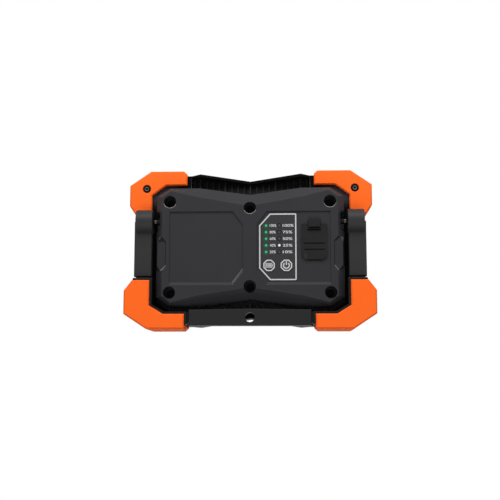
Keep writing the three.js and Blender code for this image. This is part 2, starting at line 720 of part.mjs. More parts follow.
const coverCuts = [
  panelRecess,
  panelRecess.mirror([1, 0, 0]),
  ...coverScrews.flatMap(([, [x, z]]) => [
    rod('y', RECESS_RADIUS, faceY - CUT_PAST, recessFloorY, [x, 0, z]),
    rod('y', SCREW_RADIUS + FIT, recessFloorY - CUT_PAST, coverRimY + CUT_PAST, [x, 0, z], 12),
  ]),
  ...lampPlaces.map(([x, z]) => rod(
    'y', LAMP_RADIUS + FIT, faceY - CUT_PAST, coverInnerY + CUT_PAST, [x, 0, z], 12,
  )),
  ...buttons.map(([, place]) => throughFace(regular(8, BUTTON_SIZE + 2 * SLIDE, place))),
  ...ports.map(([, [width, height], place]) => throughFace(
    rectangle(width + 2 * FIT, height + 2 * FIT, place),
  )),
  throughFace(rectangle(ANCHOR_SIZE[0] + 2 * FIT, ANCHOR_SIZE[1] + 2 * FIT, [flapX, hingeZ])),
  ...boardScrews.map(([, x, z]) => rod(
    'y', BOARD_SCREW_RADIUS + FIT, boardBackY - STANDOFF, boardBackY + CUT_PAST, [x, 0, z], 12,
  )),
  ...sides.flatMap(([, sx]) => [
    rod('x', PIVOT_POCKET[0], sx * (coverX - PIVOT_POCKET[1]), sx * (coverX + CUT_PAST),
      [0, pivotY, pivotZ]),
    rod('x', insertRoom, sx * (bossInnerX - CUT_PAST), sx * (coverX + CUT_PAST),
      [0, pivotY, pivotZ]),
  ]),
];
addPart('rear_cover', 'blackPlastic',
  cut(coverShell, [cut(coverHollow, coverBosses), ...coverCuts]));

// ---------------------------------------------------------------- screws

// A socket-head screw along Y: its head's underside is at seatY, its tip at tipY, and the
// head is on the other side of the seat from the tip.
function screw(radius, [headRadius, headHeight], seatY, tipY, [x, z], sides = 12) {
  const away = Math.sign(seatY - tipY);
  const topY = seatY + away * headHeight;
  return cut(
    rod('y', radius, seatY + away * headHeight / 2, tipY, [x, 0, z], sides)
      .add(rod('y', headRadius, seatY, topY, [x, 0, z], 16)),
    [plate(regular(6, headRadius, [x, z]),
      Math.min(topY + away * CUT_PAST, topY - away * headHeight / 2),
      Math.max(topY + away * CUT_PAST, topY - away * headHeight / 2))],
  );
}

for (const [name, place] of coverScrews) {
  addPart(`cover_screw_${name}`, 'steel',
    screw(SCREW_RADIUS, SCREW_HEAD, recessFloorY, coverScrewTipY, place));
}

// ---------------------------------------------------------------- frame bumpers

const bumperOutline = [
  [bumperEndX, HEIGHT / 2 - BUMPER_TIP[1]],
  [bumperEndX + BUMPER_TIP[0], HEIGHT / 2],
  [WIDTH / 2 - CORNER_RUN[0] - BUMPER_WALL / 2, HEIGHT / 2],
  [WIDTH / 2, HEIGHT / 2 - CORNER_RUN[1] - BUMPER_WALL / 2],
  [WIDTH / 2, bumperEndZ + BUMPER_TOE[1]],
  [WIDTH / 2 - BUMPER_TOE[0], bumperEndZ],
  [bumperInnerX, bumperEndZ],
  [bumperInnerX, bumperInnerZ - BUMPER_RUN[1]],
  [bumperInnerX - BUMPER_RUN[0], bumperInnerZ],
  [bumperEndX, bumperInnerZ],
];
const bumperBackY = FRAME_BACK_Y - BUMPER_LIP;
const bumperSeatY = bumperBackY + BUMPER_LIP / 2;
for (const [name, sx, sz] of corners) {
  const place = [sx * bumperScrewX, sz * bumperScrewZ];
  const across = sx > 0 ? bumperOutline : mirrorX(bumperOutline);
  const outline = sz > 0 ? across : mirrorZ(across);
  addPart(`frame_bumper_${name}`, 'orangeRubber', cut(
    plate(outline, bumperBackY, bezelFrontY + BUMPER_NOSE, SOFT_EDGE, SOFT_EDGE),
    [
      plate(grow(frameOutline, FIT), FRAME_BACK_Y - FIT, bezelFrontY + FIT),
      rod('y', BUMPER_RECESS_RADIUS, bumperBackY - CUT_PAST, bumperSeatY,
        [place[0], 0, place[1]], 16),
      rod('y', SCREW_RADIUS + FIT, bumperBackY, FRAME_BACK_Y, [place[0], 0, place[1]], 12),
    ],
  ));
  addPart(`bumper_screw_${name}`, 'steel', screw(
    SCREW_RADIUS, [BUMPER_SCREW_HEAD, BUMPER_LIP / 2 - FIT], bumperSeatY, bumperScrewTipY, place,
  ));
}

// ---------------------------------------------------------------- battery

const cellLeftX = -screwX / 2;
const cellPitch = CELL_DIAMETER + 2 * FIT;
const cellEndZ = CELL_LENGTH / 2;
const packWidth = 2 * CELL_DIAMETER + 4 * FIT;
const packHeight = CELL_LENGTH + 2 * (TAB_STRIP + 2 * FIT);
addPart('battery_holder', 'blackPlastic', cut(
  plate(rectangle(packWidth + 2 * HOLDER_WALL, packHeight + 2 * HOLDER_WALL, [cellLeftX, 0]),
    PLATE_BACK_Y - HOLDER_DEPTH, PLATE_BACK_Y),
  [plate(rectangle(packWidth, packHeight, [cellLeftX, 0]),
    PLATE_BACK_Y - HOLDER_DEPTH - CUT_PAST, PLATE_BACK_Y + CUT_PAST)],
));
for (const [side, sx] of sides) {
  const x = cellLeftX + sx * cellPitch / 2;
  addPart(`battery_cell_${side}`, 'cellWrap',
    rod('z', CELL_DIAMETER / 2, -cellEndZ, cellEndZ, [x, cellY, 0]));
}
for (const [place, up] of [['upper', 1], ['lower', -1]]) {
  addPart(`battery_strip_${place}`, 'steel', block(
    [cellLeftX - cellPitch / 2 - 4, cellLeftX + cellPitch / 2 + 4],
    [cellY - 3, cellY + 3],
    [up * (cellEndZ + FIT), up * (cellEndZ + FIT + TAB_STRIP)],
  ));
}

// ---------------------------------------------------------------- control board and what is on it

addPart('control_board', 'circuitBoard', cut(
  block(boardX, [boardBackY, boardFrontY], [-boardZ, boardZ]),
  [
    ...ports.map(([, [width, height], place]) => plate(
      rectangle(width + 2 * FIT, height + 2 * FIT, place),
      boardBackY - CUT_PAST, boardFrontY + CUT_PAST,
    )),
    ...boardScrews.map(([, x, z]) => rod(
      'y', BOARD_SCREW_RADIUS + FIT, boardBackY - CUT_PAST, boardFrontY + CUT_PAST, [x, 0, z], 12,
    )),
  ],
));
for (const [name, x, z] of boardScrews) {
  addPart(`board_screw_${name}`, 'steel', screw(
    BOARD_SCREW_RADIUS, BOARD_SCREW_HEAD, boardFrontY, coverInnerY + FIT, [x, z], 8,
  ));
}

// Each port is a shell with a closed end and a contact tongue inside.
for (const [name, [width, height, depth], place] of ports) {
  const frontY = portBackY + depth;
  const socketY = frontY - 2 * PORT_SHELL;
  addPart(name, 'steel', join([
    cut(plate(rectangle(width, height, place), portBackY, frontY), [plate(
      rectangle(width - 2 * PORT_SHELL, height - 2 * PORT_SHELL, place),
      portBackY - CUT_PAST, socketY,
    )]),
    plate(rectangle(width * 0.7, height * 0.25, place), portBackY + 1.6, socketY + PORT_SHELL),
  ]));
}

// Light guides: one bar behind the face for each column, with a peg for each lamp.
const guideBackY = coverInnerY + FIT;
const guideFrontY = boardBackY - FIT;
for (const [name, finish, x] of lampColumns) {
  addPart(`${name}_light_guide`, finish, join([
    block(
      [x - GUIDE_WIDTH / 2, x + GUIDE_WIDTH / 2], [guideBackY, guideFrontY],
      [lampRows.at(-1) - LAMP_RADIUS - FIT, lampRows[0] + LAMP_RADIUS + FIT],
    ),
    ...lampRows.map((z) => rod(
      'y', LAMP_RADIUS, panelY - LABEL_THICKNESS, guideBackY + FIT, [x, 0, z], 12,
    )),
  ]));
}

addPart('control_label', 'labelFilm', cut(
  plate(labelOutline, panelY - LABEL_THICKNESS, panelY),
  [
    ...lampPlaces.map(([x, z]) => rod(
      'y', LAMP_RADIUS + FIT, panelY - CUT_PAST, panelY + CUT_PAST, [x, 0, z], 12,
    )),
    ...buttons.map(([, place]) => plate(
      regular(8, BUTTON_SIZE + 2 * SLIDE, place), panelY - CUT_PAST, panelY + CUT_PAST,
    )),
  ],
));

// A button is kept in by its flange, and its foot stops just above the switch's plunger.
const flangeBackY = coverInnerY + SLIDE;
const buttonFootY = flangeBackY + FINE_EDGE;
const plungerY = buttonFootY + BUTTON_TRAVEL + SLIDE;
const switchY = boardBackY - SWITCH_HEIGHT;
for (const [name, place] of buttons) {
  const faceOfButton = panelY - LABEL_THICKNESS - BUTTON_PROUD;
  addPart(`${name}_button`, 'blackRubber', join([
    plate(regular(8, BUTTON_SIZE, place), faceOfButton, flangeBackY + SLIDE, SLIDE, 0),
    plate(regular(8, BUTTON_SIZE + 2 * BUTTON_FLANGE, place), flangeBackY, buttonFootY),
  ]));
  addPart(`${name}_switch`, 'steel', join([
    plate(rectangle(SWITCH_SIZE, SWITCH_SIZE, place), switchY, boardBackY),
    rod('y', SWITCH_SIZE / 4, plungerY, switchY + SLIDE, [place[0], 0, place[1]], 12),
  ]));
}

// ---------------------------------------------------------------- port cover

const flapBackY = flapY - FLAP_THICKNESS / 2;
const flapFrontY = flapY + FLAP_THICKNESS / 2;
const flapHalf = FLAP_WIDTH / 2;
const flapOutline = [
  [flapX - flapHalf, FLAP_TOP], [flapX - flapHalf, FLAP_BOTTOM + FLAP_CORNER],
  [flapX - flapHalf + FLAP_CORNER, hingeZ], [flapX + flapHalf - FLAP_CORNER, hingeZ],
  [flapX + flapHalf, FLAP_BOTTOM + FLAP_CORNER], [flapX + flapHalf, FLAP_TOP],
];
const tabTop = FLAP_TOP + TAB_RISE;
const plugs = ports.map(([, [width, height], place]) => plate(
  rectangle(width - 2 * PORT_SHELL - 3 * FIT, height - 2 * PORT_SHELL - 3 * FIT, place),
  flapY, portBackY + 2 * FIT,
));
addPart('port_cover', 'blackRubber', join([
  plate(flapOutline, flapBackY, flapFrontY),
  rod('x', FLAP_THICKNESS / 2, flapX - flapHalf + FLAP_CORNER, flapX + flapHalf - FLAP_CORNER,
    [0, flapY, hingeZ], 16),
  plate(rectangle(TAB_SIZE[0], TAB_SIZE[1], [flapX, tabTop - TAB_SIZE[1] / 2]),
    flapBackY - TAB_PROUD, flapY, FINE_EDGE, 0),
  ...plugs,
]));

// The rubber tongue that holds the port cover is pressed through the face under its hinge.
addPart('port_cover_anchor', 'blackRubber', join([
  plate(rectangle(...ANCHOR_SIZE, [flapX, hingeZ]), flapFrontY + FIT, coverInnerY + 2 * FIT),
  plate(rectangle(ANCHOR_SIZE[0] + 2, ANCHOR_SIZE[1] + 1.6, [flapX, hingeZ]),
    coverInnerY + FIT, coverInnerY + 1 + FIT),
]));

// ---------------------------------------------------------------- pivots

const knuckleX = [coverX + ARM_GAP, coverX + ARM_GAP + KNUCKLE_WIDTH];
const boltHeadX = knuckleX[1] - BOLT_SUNK;
const boltSeatX = boltHeadX - BOLT_HEAD[1];
const counterboreX = boltSeatX - WASHER - 2 * FIT;
const insertOuterX = coverX - PIVOT_POCKET[1] - FIT;
const bushRadius = boltRoom + BUSH_WALL;
const onPivot = [0, pivotY, pivotZ];

// A ring round the pivot between two distances from the middle.
function ring(sx, outer, inner, from, to) {
  return cut(rod('x', outer, sx * from, sx * to, onPivot, 20), [
    rod('x', inner, sx * (from - CUT_PAST), sx * (to + CUT_PAST), onPivot, 16),
  ]);
}

for (const [side, sx] of sides) {
  addPart(`pivot_bolt_${side}`, 'steel', cut(
    join([
      rod('x', BOLT_RADIUS, sx * (insertOuterX - INSERT_LENGTH), sx * (boltHeadX - BOLT_HEAD[1] / 2),
        onPivot, 16),
      rod('x', BOLT_HEAD[0], sx * boltSeatX, sx * boltHeadX, onPivot, 20),
    ]),
    [rod('x', BOLT_SOCKET[0], sx * (boltHeadX - BOLT_SOCKET[1]), sx * (boltHeadX + CUT_PAST),
      onPivot, 6)],
  ));
  addPart(`pivot_insert_${side}`, 'brass',
    ring(sx, boltRoom + INSERT_WALL, boltRoom, insertOuterX - INSERT_LENGTH, insertOuterX));
  addPart(`pivot_bush_${side}`, 'whitePlastic',
    ring(sx, bushRadius, boltRoom, knuckleX[0] + FIT, counterboreX));
  addPart(`pivot_washer_${side}`, 'steel',
    ring(sx, BOLT_HEAD[0], boltRoom, boltSeatX - FIT - WASHER, boltSeatX - FIT));
}

// ---------------------------------------------------------------- stand

const standX = WIDTH / 2 + STAND_BUMPER_OUT;
const soleZ = -HEIGHT / 2;
const standBackY = faceY - STAND_BUMPER_BACK;
const standFrontY = standBackY + STAND_BUMPER_DEPTH;
const coreBackY = standBackY + STAND_BUMPER_SKIN;
const coreFrontY = standFrontY - STAND_BUMPER_SKIN;

// The bumper's L, from the top of its upright leg round its outer corner to its level leg's end.
const legTopZ = soleZ + STAND_BUMPER_REACH[1];
const legEndX = standX - STAND_BUMPER_REACH[0];
const legInnerX = standX - STAND_BUMPER_BAND[0];
const legInnerZ = soleZ + STAND_BUMPER_BAND[1];
const standBumperOuter = [
  [standX - STAND_BUMPER_TOE[0], legTopZ],
  [standX, legTopZ - STAND_BUMPER_TOE[1]],
  [standX, soleZ + STAND_BUMPER_CORNER[1]],
  [standX - STAND_BUMPER_CORNER[0], soleZ],
  [legEndX, soleZ],
];
const standBumperInner = [
  [legEndX, legInnerZ],
  [legInnerX - STAND_BUMPER_RUN[0], legInnerZ],
  [legInnerX, legInnerZ + STAND_BUMPER_RUN[1]],
  [legInnerX, legTopZ],
];
const standBumperOutline = [...standBumperOuter, ...standBumperInner];

// The core runs past the bumper's ends and inner edge by the rim that shows, and the bumper's
// wall covers it outside.
const coreTopZ = legTopZ + CORE_RIM;
const coreEndX = legEndX - CORE_RIM;
const coreInnerZ = legInnerZ + CORE_RIM;
const coreInnerX = legInnerX - CORE_RIM;
const coreOuterX = standX - STAND_BUMPER_WALL;
const coreSoleZ = soleZ + STAND_BUMPER_WALL;
const coreOutline = [
  [coreOuterX - STAND_BUMPER_TOE[0] / 2, coreTopZ],
  [coreOuterX, legTopZ - STAND_BUMPER_TOE[1]],
  [coreOuterX, coreSoleZ + STAND_BUMPER_CORNER[1]],
  [coreOuterX - STAND_BUMPER_CORNER[0], coreSoleZ],
  [coreEndX, coreSoleZ],
  [coreEndX, coreInnerZ],
  [legInnerX - STAND_BUMPER_RUN[0] - CORE_RIM / 2, coreInnerZ],
  [coreInnerX, legInnerZ + STAND_BUMPER_RUN[1] + CORE_RIM / 2],
  [coreInnerX, coreTopZ],
];

const armX = [knuckleX[0] + ARM_EASE[0], knuckleX[1] - ARM_EASE[1]];
const armBackY = faceY + ARM_BACK;
const armFrontY = armBackY + ARM_THICKNESS;
const armEndZ = coreTopZ + GROOVE;
const barEndX = coreEndX - GROOVE;
const barSoleZ = soleZ + BAR_LIFT;
const barTopZ = barSoleZ + BAR_HEIGHT;
const barFrontY = faceY + BAR_DEPTH;
const hangHoleZ = barTopZ + BAR_ARCH - HANG_HOLE_DROP;

const barOutline = [
  [-barEndX, barSoleZ], [barEndX, barSoleZ],
  [barEndX, barTopZ], [0, barTopZ + BAR_ARCH], [-barEndX, barTopZ],
];
const standSolids = [plate(barOutline, faceY, barFrontY, FINE_EDGE, FINE_EDGE)];
for (const [, sx] of sides) {
  const armMiddle = sx * (armX[0] + armX[1]) / 2;
  const armOutline = rectangle(armX[1] - armX[0], pivotZ - armEndZ, [
    armMiddle, (pivotZ + armEndZ) / 2,
  ]);
  standSolids.push(
    rod('x', KNUCKLE_RADIUS, sx * knuckleX[0], sx * knuckleX[1], onPivot, 32),
    plate(armOutline, armBackY, armFrontY, FINE_EDGE, FINE_EDGE),
    block(
      [sx * (armX[0] + NECK_EASE), sx * (armX[1] - NECK_EASE)],
      [armBackY + NECK_EASE, armFrontY - NECK_EASE],
      [coreTopZ - CUT_PAST, armEndZ + CUT_PAST],
    ),
    plate(sx > 0 ? coreOutline : mirrorX(coreOutline), coreBackY, coreFrontY),
    block(
      [sx * (barEndX - CUT_PAST), sx * (coreEndX + CUT_PAST)],
      [faceY + NECK_EASE, barFrontY - NECK_EASE],
      [barSoleZ + NECK_EASE, barTopZ - NECK_EASE],
    ),
  );
}
addPart('stand_bracket', 'blackPlastic', cut(join(standSolids), [
  rod('y', HANG_HOLE_RADIUS, faceY - CUT_PAST, barFrontY + CUT_PAST, [0, 0, hangHoleZ]),
  ...sides.flatMap(([, sx]) => [
    rod('x', bushRadius + FIT, sx * (knuckleX[0] - CUT_PAST), sx * (counterboreX + CUT_PAST),
      onPivot, 20),
    rod('x', BOLT_HEAD[0] + 2 * FIT, sx * counterboreX, sx * (knuckleX[1] + CUT_PAST),
      onPivot, 20),
  ]),
]));

for (const [side, sx] of sides) {
  const outline = sx > 0 ? standBumperOutline : mirrorX(standBumperOutline);
  const core = sx > 0 ? coreOutline : mirrorX(coreOutline);
  addPart(`stand_bumper_${side}`, 'orangeRubber', cut(
    plate(outline, standBackY, standFrontY, SOFT_EDGE, SOFT_EDGE),
    [plate(grow(core, FIT), coreBackY - FIT, coreFrontY + FIT)],
  ));
}

// ---------------------------------------------------------------- place of the whole light

// Its origin is at the middle of its sole, from the stand bumpers' backs to the frame bumpers' noses.
light.position.set(0, -(standBackY + bezelFrontY + BUMPER_NOSE) / 2, HEIGHT / 2);

export default light;
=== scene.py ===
import math

import bmesh
import bpy
from mathutils import Matrix, Vector


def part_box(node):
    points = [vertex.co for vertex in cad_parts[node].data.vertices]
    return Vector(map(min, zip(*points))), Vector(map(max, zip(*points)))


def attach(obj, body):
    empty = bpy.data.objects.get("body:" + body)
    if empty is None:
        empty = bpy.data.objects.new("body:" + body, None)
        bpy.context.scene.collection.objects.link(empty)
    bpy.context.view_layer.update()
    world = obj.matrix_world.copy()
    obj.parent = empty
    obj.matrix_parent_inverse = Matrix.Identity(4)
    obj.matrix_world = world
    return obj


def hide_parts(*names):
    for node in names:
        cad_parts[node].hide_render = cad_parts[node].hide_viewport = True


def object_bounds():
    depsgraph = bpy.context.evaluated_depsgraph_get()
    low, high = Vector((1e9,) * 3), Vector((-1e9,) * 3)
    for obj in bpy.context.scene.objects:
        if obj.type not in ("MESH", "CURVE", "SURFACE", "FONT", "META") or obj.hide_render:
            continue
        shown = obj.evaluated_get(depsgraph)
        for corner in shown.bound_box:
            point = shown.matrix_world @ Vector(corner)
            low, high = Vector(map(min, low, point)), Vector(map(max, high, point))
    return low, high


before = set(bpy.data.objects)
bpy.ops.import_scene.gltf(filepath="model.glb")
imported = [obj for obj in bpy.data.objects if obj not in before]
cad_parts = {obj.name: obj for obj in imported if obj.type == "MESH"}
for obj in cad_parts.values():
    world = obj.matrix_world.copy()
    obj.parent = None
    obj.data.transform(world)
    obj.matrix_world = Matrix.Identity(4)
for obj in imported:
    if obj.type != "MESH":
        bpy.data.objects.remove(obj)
cad_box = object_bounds()
MM = 0.001


# Main frame: the housing's middle, injection moulded in black ABS with a fine spark-eroded
# texture. The rear opening takes the control cover, and cooling slots lie above and below it.

class Value:
    """One output of a node, on which Python's arithmetic works."""

    def __init__(self, owner, socket):
        self.owner = owner
        self.socket = socket

    def maths(self, operation, *numbers):
        return self.owner.node("ShaderNodeMath", {"operation": operation}, dict(enumerate(numbers)))

    def __add__(self, other):
        return self.maths("ADD", self, other)

    def __sub__(self, other):
        return self.maths("SUBTRACT", self, other)

    def __rsub__(self, other):
        return self.maths("SUBTRACT", other, self)

    def __mul__(self, other):
        return self.maths("MULTIPLY", self, other)

    def __gt__(self, other):
        return self.maths("GREATER_THAN", self, other)

    def __lt__(self, other):
        return self.maths("LESS_THAN", self, other)

    __radd__ = __add__
    __rmul__ = __mul__


class Nodes:
    """The nodes that lead to one shader."""

    def __init__(self, tree, shader):
        self.tree = tree
        self.shader = tree.nodes[shader]

    def connect(self, socket, value):
        if isinstance(value, Value):
            self.tree.links.new(value.socket, socket)
        else:
            socket.default_value = value

    def feed(self, name, value):
        self.connect(self.shader.inputs[name], value)

    def node(self, kind, settings=None, sockets=None, output=0):
        """Makes a node, and returns one of its outputs."""
        made = self.tree.nodes.new(kind)
        for name, value in (settings or {}).items():
            setattr(made, name, value)
        for name, value in (sockets or {}).items():
            self.connect(made.inputs[name], value)
        return Value(self, made.outputs[output])


class Finish(Nodes):
    """A material whose nodes are made in Python."""

    def __init__(self, name, **constants):
        self.material = bpy.data.materials.new(name)
        self.material.use_nodes = True
        super().__init__(self.material.node_tree, "Principled BSDF")
        for socket, value in constants.items():
            self.feed(socket.replace("_", " "), value)
        self.place = self.node("ShaderNodeTexCoord", output="Object")

    def along(self, axis):
        return self.node("ShaderNodeSeparateXYZ", sockets={0: self.place}, output=axis)

    def noise(self, size, detail=2.0):
        """Noise from 0 to 1 whose lumps have the given size."""
        return self.node("ShaderNodeTexNoise", sockets={
            "Vector": self.place, "Scale": 1 / size, "Detail": detail})

    def blend(self, share, first, second):
        return self.node("ShaderNodeMix", {"data_type": "RGBA"}, {0: share, 6: first, 7: second}, 2)

    def between(self, share, low, high):
        """The number that goes from low to high as share goes from 0 to 1."""
        return share * (high - low) + low

    def relief(self, height, depth, strength=1.0):
        self.feed("Normal", self.node("ShaderNodeBump", sockets={
            "Height": height, "Distance": depth, "Strength": strength}))

    def rounded_edge(self):
        """A face's mark: 0 on a plain face, ROUNDED on a rounded edge, or one that a piece gives."""
        return self.node("ShaderNodeAttribute", {"attribute_name": "rounded"}, output="Fac")


def grey(level, tint=0.0):
    return (level, level, level * (1 + tint), 1)


def moulded_black(name, level, edge, gloss=0.2, tint=0.05, roughness=0.48):
    """Black plastic, turned here and there to its paler edge colour on faces that have a mark:
    partly wear along edges, partly a painted highlight.
    """
    finish = Finish(name, Specular_IOR_Level=gloss)
    cloud = finish.noise(22 * MM, 3)
    wear_and_highlight = finish.rounded_edge() * finish.noise(3 * MM, 4)
    base = finish.blend(cloud, grey(level * 0.92, tint), grey(level * 1.08, tint))
    finish.colour = finish.blend(wear_and_highlight, base, grey(edge, tint))
    finish.feed("Base Color", finish.colour)
    finish.feed("Roughness", finish.between(cloud, roughness - 0.05, roughness + 0.05) - wear_and_highlight * 0.12)
    finish.relief(finish.noise(0.3 * MM, 3), 0.02 * MM, 0.6)
    return finish


def whole_faces(node):
    """A bmesh of a CAD node, with its doubles merged and its flat faces whole."""
    shape = bmesh.new()
    shape.from_mesh(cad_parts[node].data)
    bmesh.ops.remove_doubles(shape, verts=shape.verts, dist=0.002 * MM)
    bmesh.ops.dissolve_limit(
        shape, angle_limit=math.radians(0.5), verts=shape.verts, edges=shape.edges)
    return shape


ROUNDED = 1.0
# The mark at which a face takes its paler edge colour in full: a painted highlight.
FULL_EDGE_HIGHLIGHT = 4.0


def face_marks(shape):
    """The layer in which each of the shape's faces has its mark."""
    layers = shape.faces.layers.float
    return layers.get("rounded") or layers.new("rounded")


def round_edges(shape, width, segments=2, bend=25, mark=ROUNDED, where=lambda edge: True):
    """Rounds the shape's edges that bend by more than the angle, and marks the new faces."""
    marks = face_marks(shape)
    edges = [e for e in shape.edges if len(e.link_faces) == 2
             and e.calc_face_angle() > math.radians(bend) and where(e)]
    made = bmesh.ops.bevel(
        shape, geom=edges, offset=width, offset_type="OFFSET", segments=segments,
        profile=0.5, affect="EDGES", material=-1, clamp_overlap=True)
    for face in made["faces"]:
        face[marks] = max(face[marks], mark)


def piece(shape, name, body, finish, slot, *replaced, sharp=50):
    """Makes the shape a piece that rides on a CAD body, in place of some nodes or none."""
    for face in shape.faces:
        face.smooth = True
    for edge in shape.edges:
        if len(edge.link_faces) == 2 and edge.calc_face_angle() > math.radians(sharp):
            edge.smooth = False
    mesh = bpy.data.meshes.new(name)
    shape.to_mesh(mesh)
    shape.free()
    mesh.materials.append(finish.material)
    made = bpy.data.objects.new(name, mesh)
    bpy.context.scene.collection.objects.link(made)
    flatten = made.modifiers.new("even_faces", "WEIGHTED_NORMAL")
    flatten.keep_sharp = True
    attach(made, body)
    if replaced:
        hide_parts(*replaced)


def softened(node, body, finish, slot, width=0.3 * MM, **how):
    """Makes a piece of a CAD node, with its edges rounded."""
    shape = whole_faces(node)
    round_edges(shape, width, **how)
    piece(shape, node + "_moulding", body, finish, slot, node)


def mirrored(finish, place):
    """The place with no coordinate below zero, so that a pattern repeats across the middle."""
    return finish.node("ShaderNodeVectorMath", {"operation": "ABSOLUTE"}, {0: place})


def distance_from(finish, x, z, place=None):
    """Distance, as the user sees it from behind, to a point of the light."""
    flat = finish.node("ShaderNodeVectorMath", {"operation": "MULTIPLY"}, {
        0: place or finish.place, 1: (1, 0, 1)})
    return finish.node("ShaderNodeVectorMath", {"operation": "DISTANCE"}, {
        0: flat, 1: (x, 0, z)}, "Value")


def fade(finish, distance, near, far):
    """1 nearer than near, falling smoothly to 0 at far."""
    return finish.node("ShaderNodeMapRange", {"interpolation_type": "SMOOTHSTEP"}, {
        "Value": distance, "From Min": near, "From Max": far, "To Min": 1.0, "To Max": 0.0})


SLOT_END_X, SLOT_END_Z = 70 * MM, 112 * MM
# The frame's near-black, darker than its black ABS, is painted shade, so that the deep cooling slots
# look shadowed.
housing_black = moulded_black("housing_black", 0.002, 0.12, gloss=0.03)
# Beside the upper bumpers' ends the frame's back is painted paler: painted light where light falls
# on it.
off_slot_end = distance_from(
    housing_black, SLOT_END_X, SLOT_END_Z, mirrored(housing_black, housing_black.place))
housing_black.feed("Base Color", housing_black.blend(
    fade(housing_black, off_slot_end, 8 * MM, 18 * MM), housing_black.colour, grey(0.035, 0.2)))

frame_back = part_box("main_frame")[0].y
bumper_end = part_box("frame_bumper_upper_right")[0].x
LIT_X = (bumper_end - 4.5 * MM, 78 * MM)
LIT_Z = (98 * MM, 127 * MM)


def by_slot_end(edge):
    """Whether an edge of the frame's back is beside an upper bumper's end and catches the light."""
    return all(v.co.y < frame_back + 0.3 * MM and LIT_Z[0] < v.co.z < LIT_Z[1]
               and LIT_X[0] < abs(v.co.x) < LIT_X[1] for v in edge.verts)


frame_shape = whole_faces("main_frame")
# The frame's edges beside the upper bumpers' ends get a painted highlight.
round_edges(frame_shape, 0.5 * MM, mark=FULL_EDGE_HIGHLIGHT, where=by_slot_end)
round_edges(frame_shape, 0.35 * MM)
piece(frame_shape, "main_frame_moulding", "housing", housing_black, "black_plastic", "main_frame")


# Heat sink: one die-cast aluminium plate, black anodised. Its fins fill the cooling slots and end
# level with the frame's back, and every fourth one is a tall rib that stands 6 mm proud of it.

MID_HEIGHT = 64 * MM
GLINT_NEAR, GLINT_FAR = 47 * MM, 52 * MM      # how far above and below the middle
anodised = Finish("anodised", Metallic=0.8, Specular_IOR_Level=0.03)
cast = anodised.noise(9 * MM, 4)
off_middle = anodised.along("Z") - MID_HEIGHT
# Within 47 mm of the middle, which takes in the fins' inner ends, the anodising has a painted glint
# broken up by noise: light catching the fins' ends.
fin_end_glint = fade(anodised, off_middle.maths("ABSOLUTE", off_middle), GLINT_NEAR, GLINT_FAR)
# The near-black is partly black anodising and partly painted shade of the deep slots.
anodised_tone = anodised.blend(cast, grey(0.002), grey(0.004))
anodised.feed("Base Color", anodised.blend(
    fin_end_glint * anodised.noise(3 * MM), anodised_tone, grey(0.03)))
anodised.feed("Roughness", anodised.between(cast, 0.42, 0.58))
anodised.relief(anodised.noise(0.5 * MM, 3), 0.02 * MM, 0.5)
softened("heat_sink", "housing", anodised, "anodised", 0.2 * MM)


# LED modules: two chip-on-board lamps. A metal-cored board carries a rectangle of chips under
# yellow phosphor silicone, inside a raised white dam, with a solder pad at each end.

module_white = Finish("module_white", Roughness=0.45)
module_white.feed("Base Color", module_white.blend(
    module_white.noise(4 * MM), grey(0.62), grey(0.7)))
module_white.relief(module_white.noise(0.8 * MM), 0.02 * MM, 0.3)

phosphor = Finish("phosphor", Roughness=0.35)
CHIP_PITCH = 1.8 * MM


def wave(finish, axis, pitch):
    turn = finish.along(axis) * (2 * math.pi / pitch)
    return turn.maths("SINE", turn)


chips = wave(phosphor, "X", CHIP_PITCH) * wave(phosphor, "Z", CHIP_PITCH)
phosphor.feed("Base Color", phosphor.blend(
    chips > 0.15, (0.78, 0.47, 0.03, 1), (0.88, 0.6, 0.08, 1)))
phosphor.relief(phosphor.noise(1.5 * MM), 0.05 * MM, 0.4)

solder = Finish("solder", Metallic=1.0, Base_Color=grey(0.6))
solder.feed("Roughness", solder.between(solder.noise(0.8 * MM), 0.25, 0.45))


def slab(low, high):
    """A bmesh of a straight-sided block between two corners."""
    shape = bmesh.new()
    size = Vector(high) - Vector(low)
    bmesh.ops.create_cube(shape, size=1)
    bmesh.ops.scale(shape, vec=size, verts=shape.verts)
    bmesh.ops.translate(shape, vec=(Vector(high) + Vector(low)) / 2, verts=shape.verts)
    return shape


DAM_WALL = 0.9 * MM
DAM_STEP = 0.25 * MM          # how far the dam stands above the silicone
DAM_DEPTH = 0.3 * MM
PAD_RADIUS = 1.0 * MM
PAD_GAP = 2.6 * MM            # from the silicone's end to the pad's middle
PAD_RISE = 8 * MM             # above the module's middle
for side in ("left", "right"):
    softened("led_module_" + side, "housing", module_white, "anodised", 0.1 * MM)
    softened("led_emitter_" + side, "housing", phosphor, "phosphor", 0.15 * MM)
    low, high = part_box("led_emitter_" + side)
    dam = slab((low.x - DAM_WALL, low.y, low.z - DAM_WALL),
               (high.x + DAM_WALL, high.y + DAM_STEP, high.z + DAM_WALL))
    front = max(dam.faces, key=lambda face: face.calc_center_median().y)
    bmesh.ops.inset_individual(dam, faces=[front], thickness=DAM_WALL)
    bmesh.ops.translate(dam, vec=(0, -DAM_DEPTH, 0), verts=front.verts)
    round_edges(dam, 0.2 * MM)
    piece(dam, "led_dam_" + side, "housing", module_white, "white_plastic")
    pads = bmesh.new()
    for x in (low.x - PAD_GAP, high.x + PAD_GAP):
        pad = bmesh.ops.create_uvsphere(
            pads, u_segments=24, v_segments=12, radius=PAD_RADIUS)["verts"]
        bmesh.ops.scale(pads, vec=(1, 0.45, 1.4), verts=pad)
        bmesh.ops.translate(pads, vec=(x, low.y, (low.z + high.z) / 2 + PAD_RISE), verts=pad)
    piece(pads, "led_solder_" + side, "housing", solder, "steel")


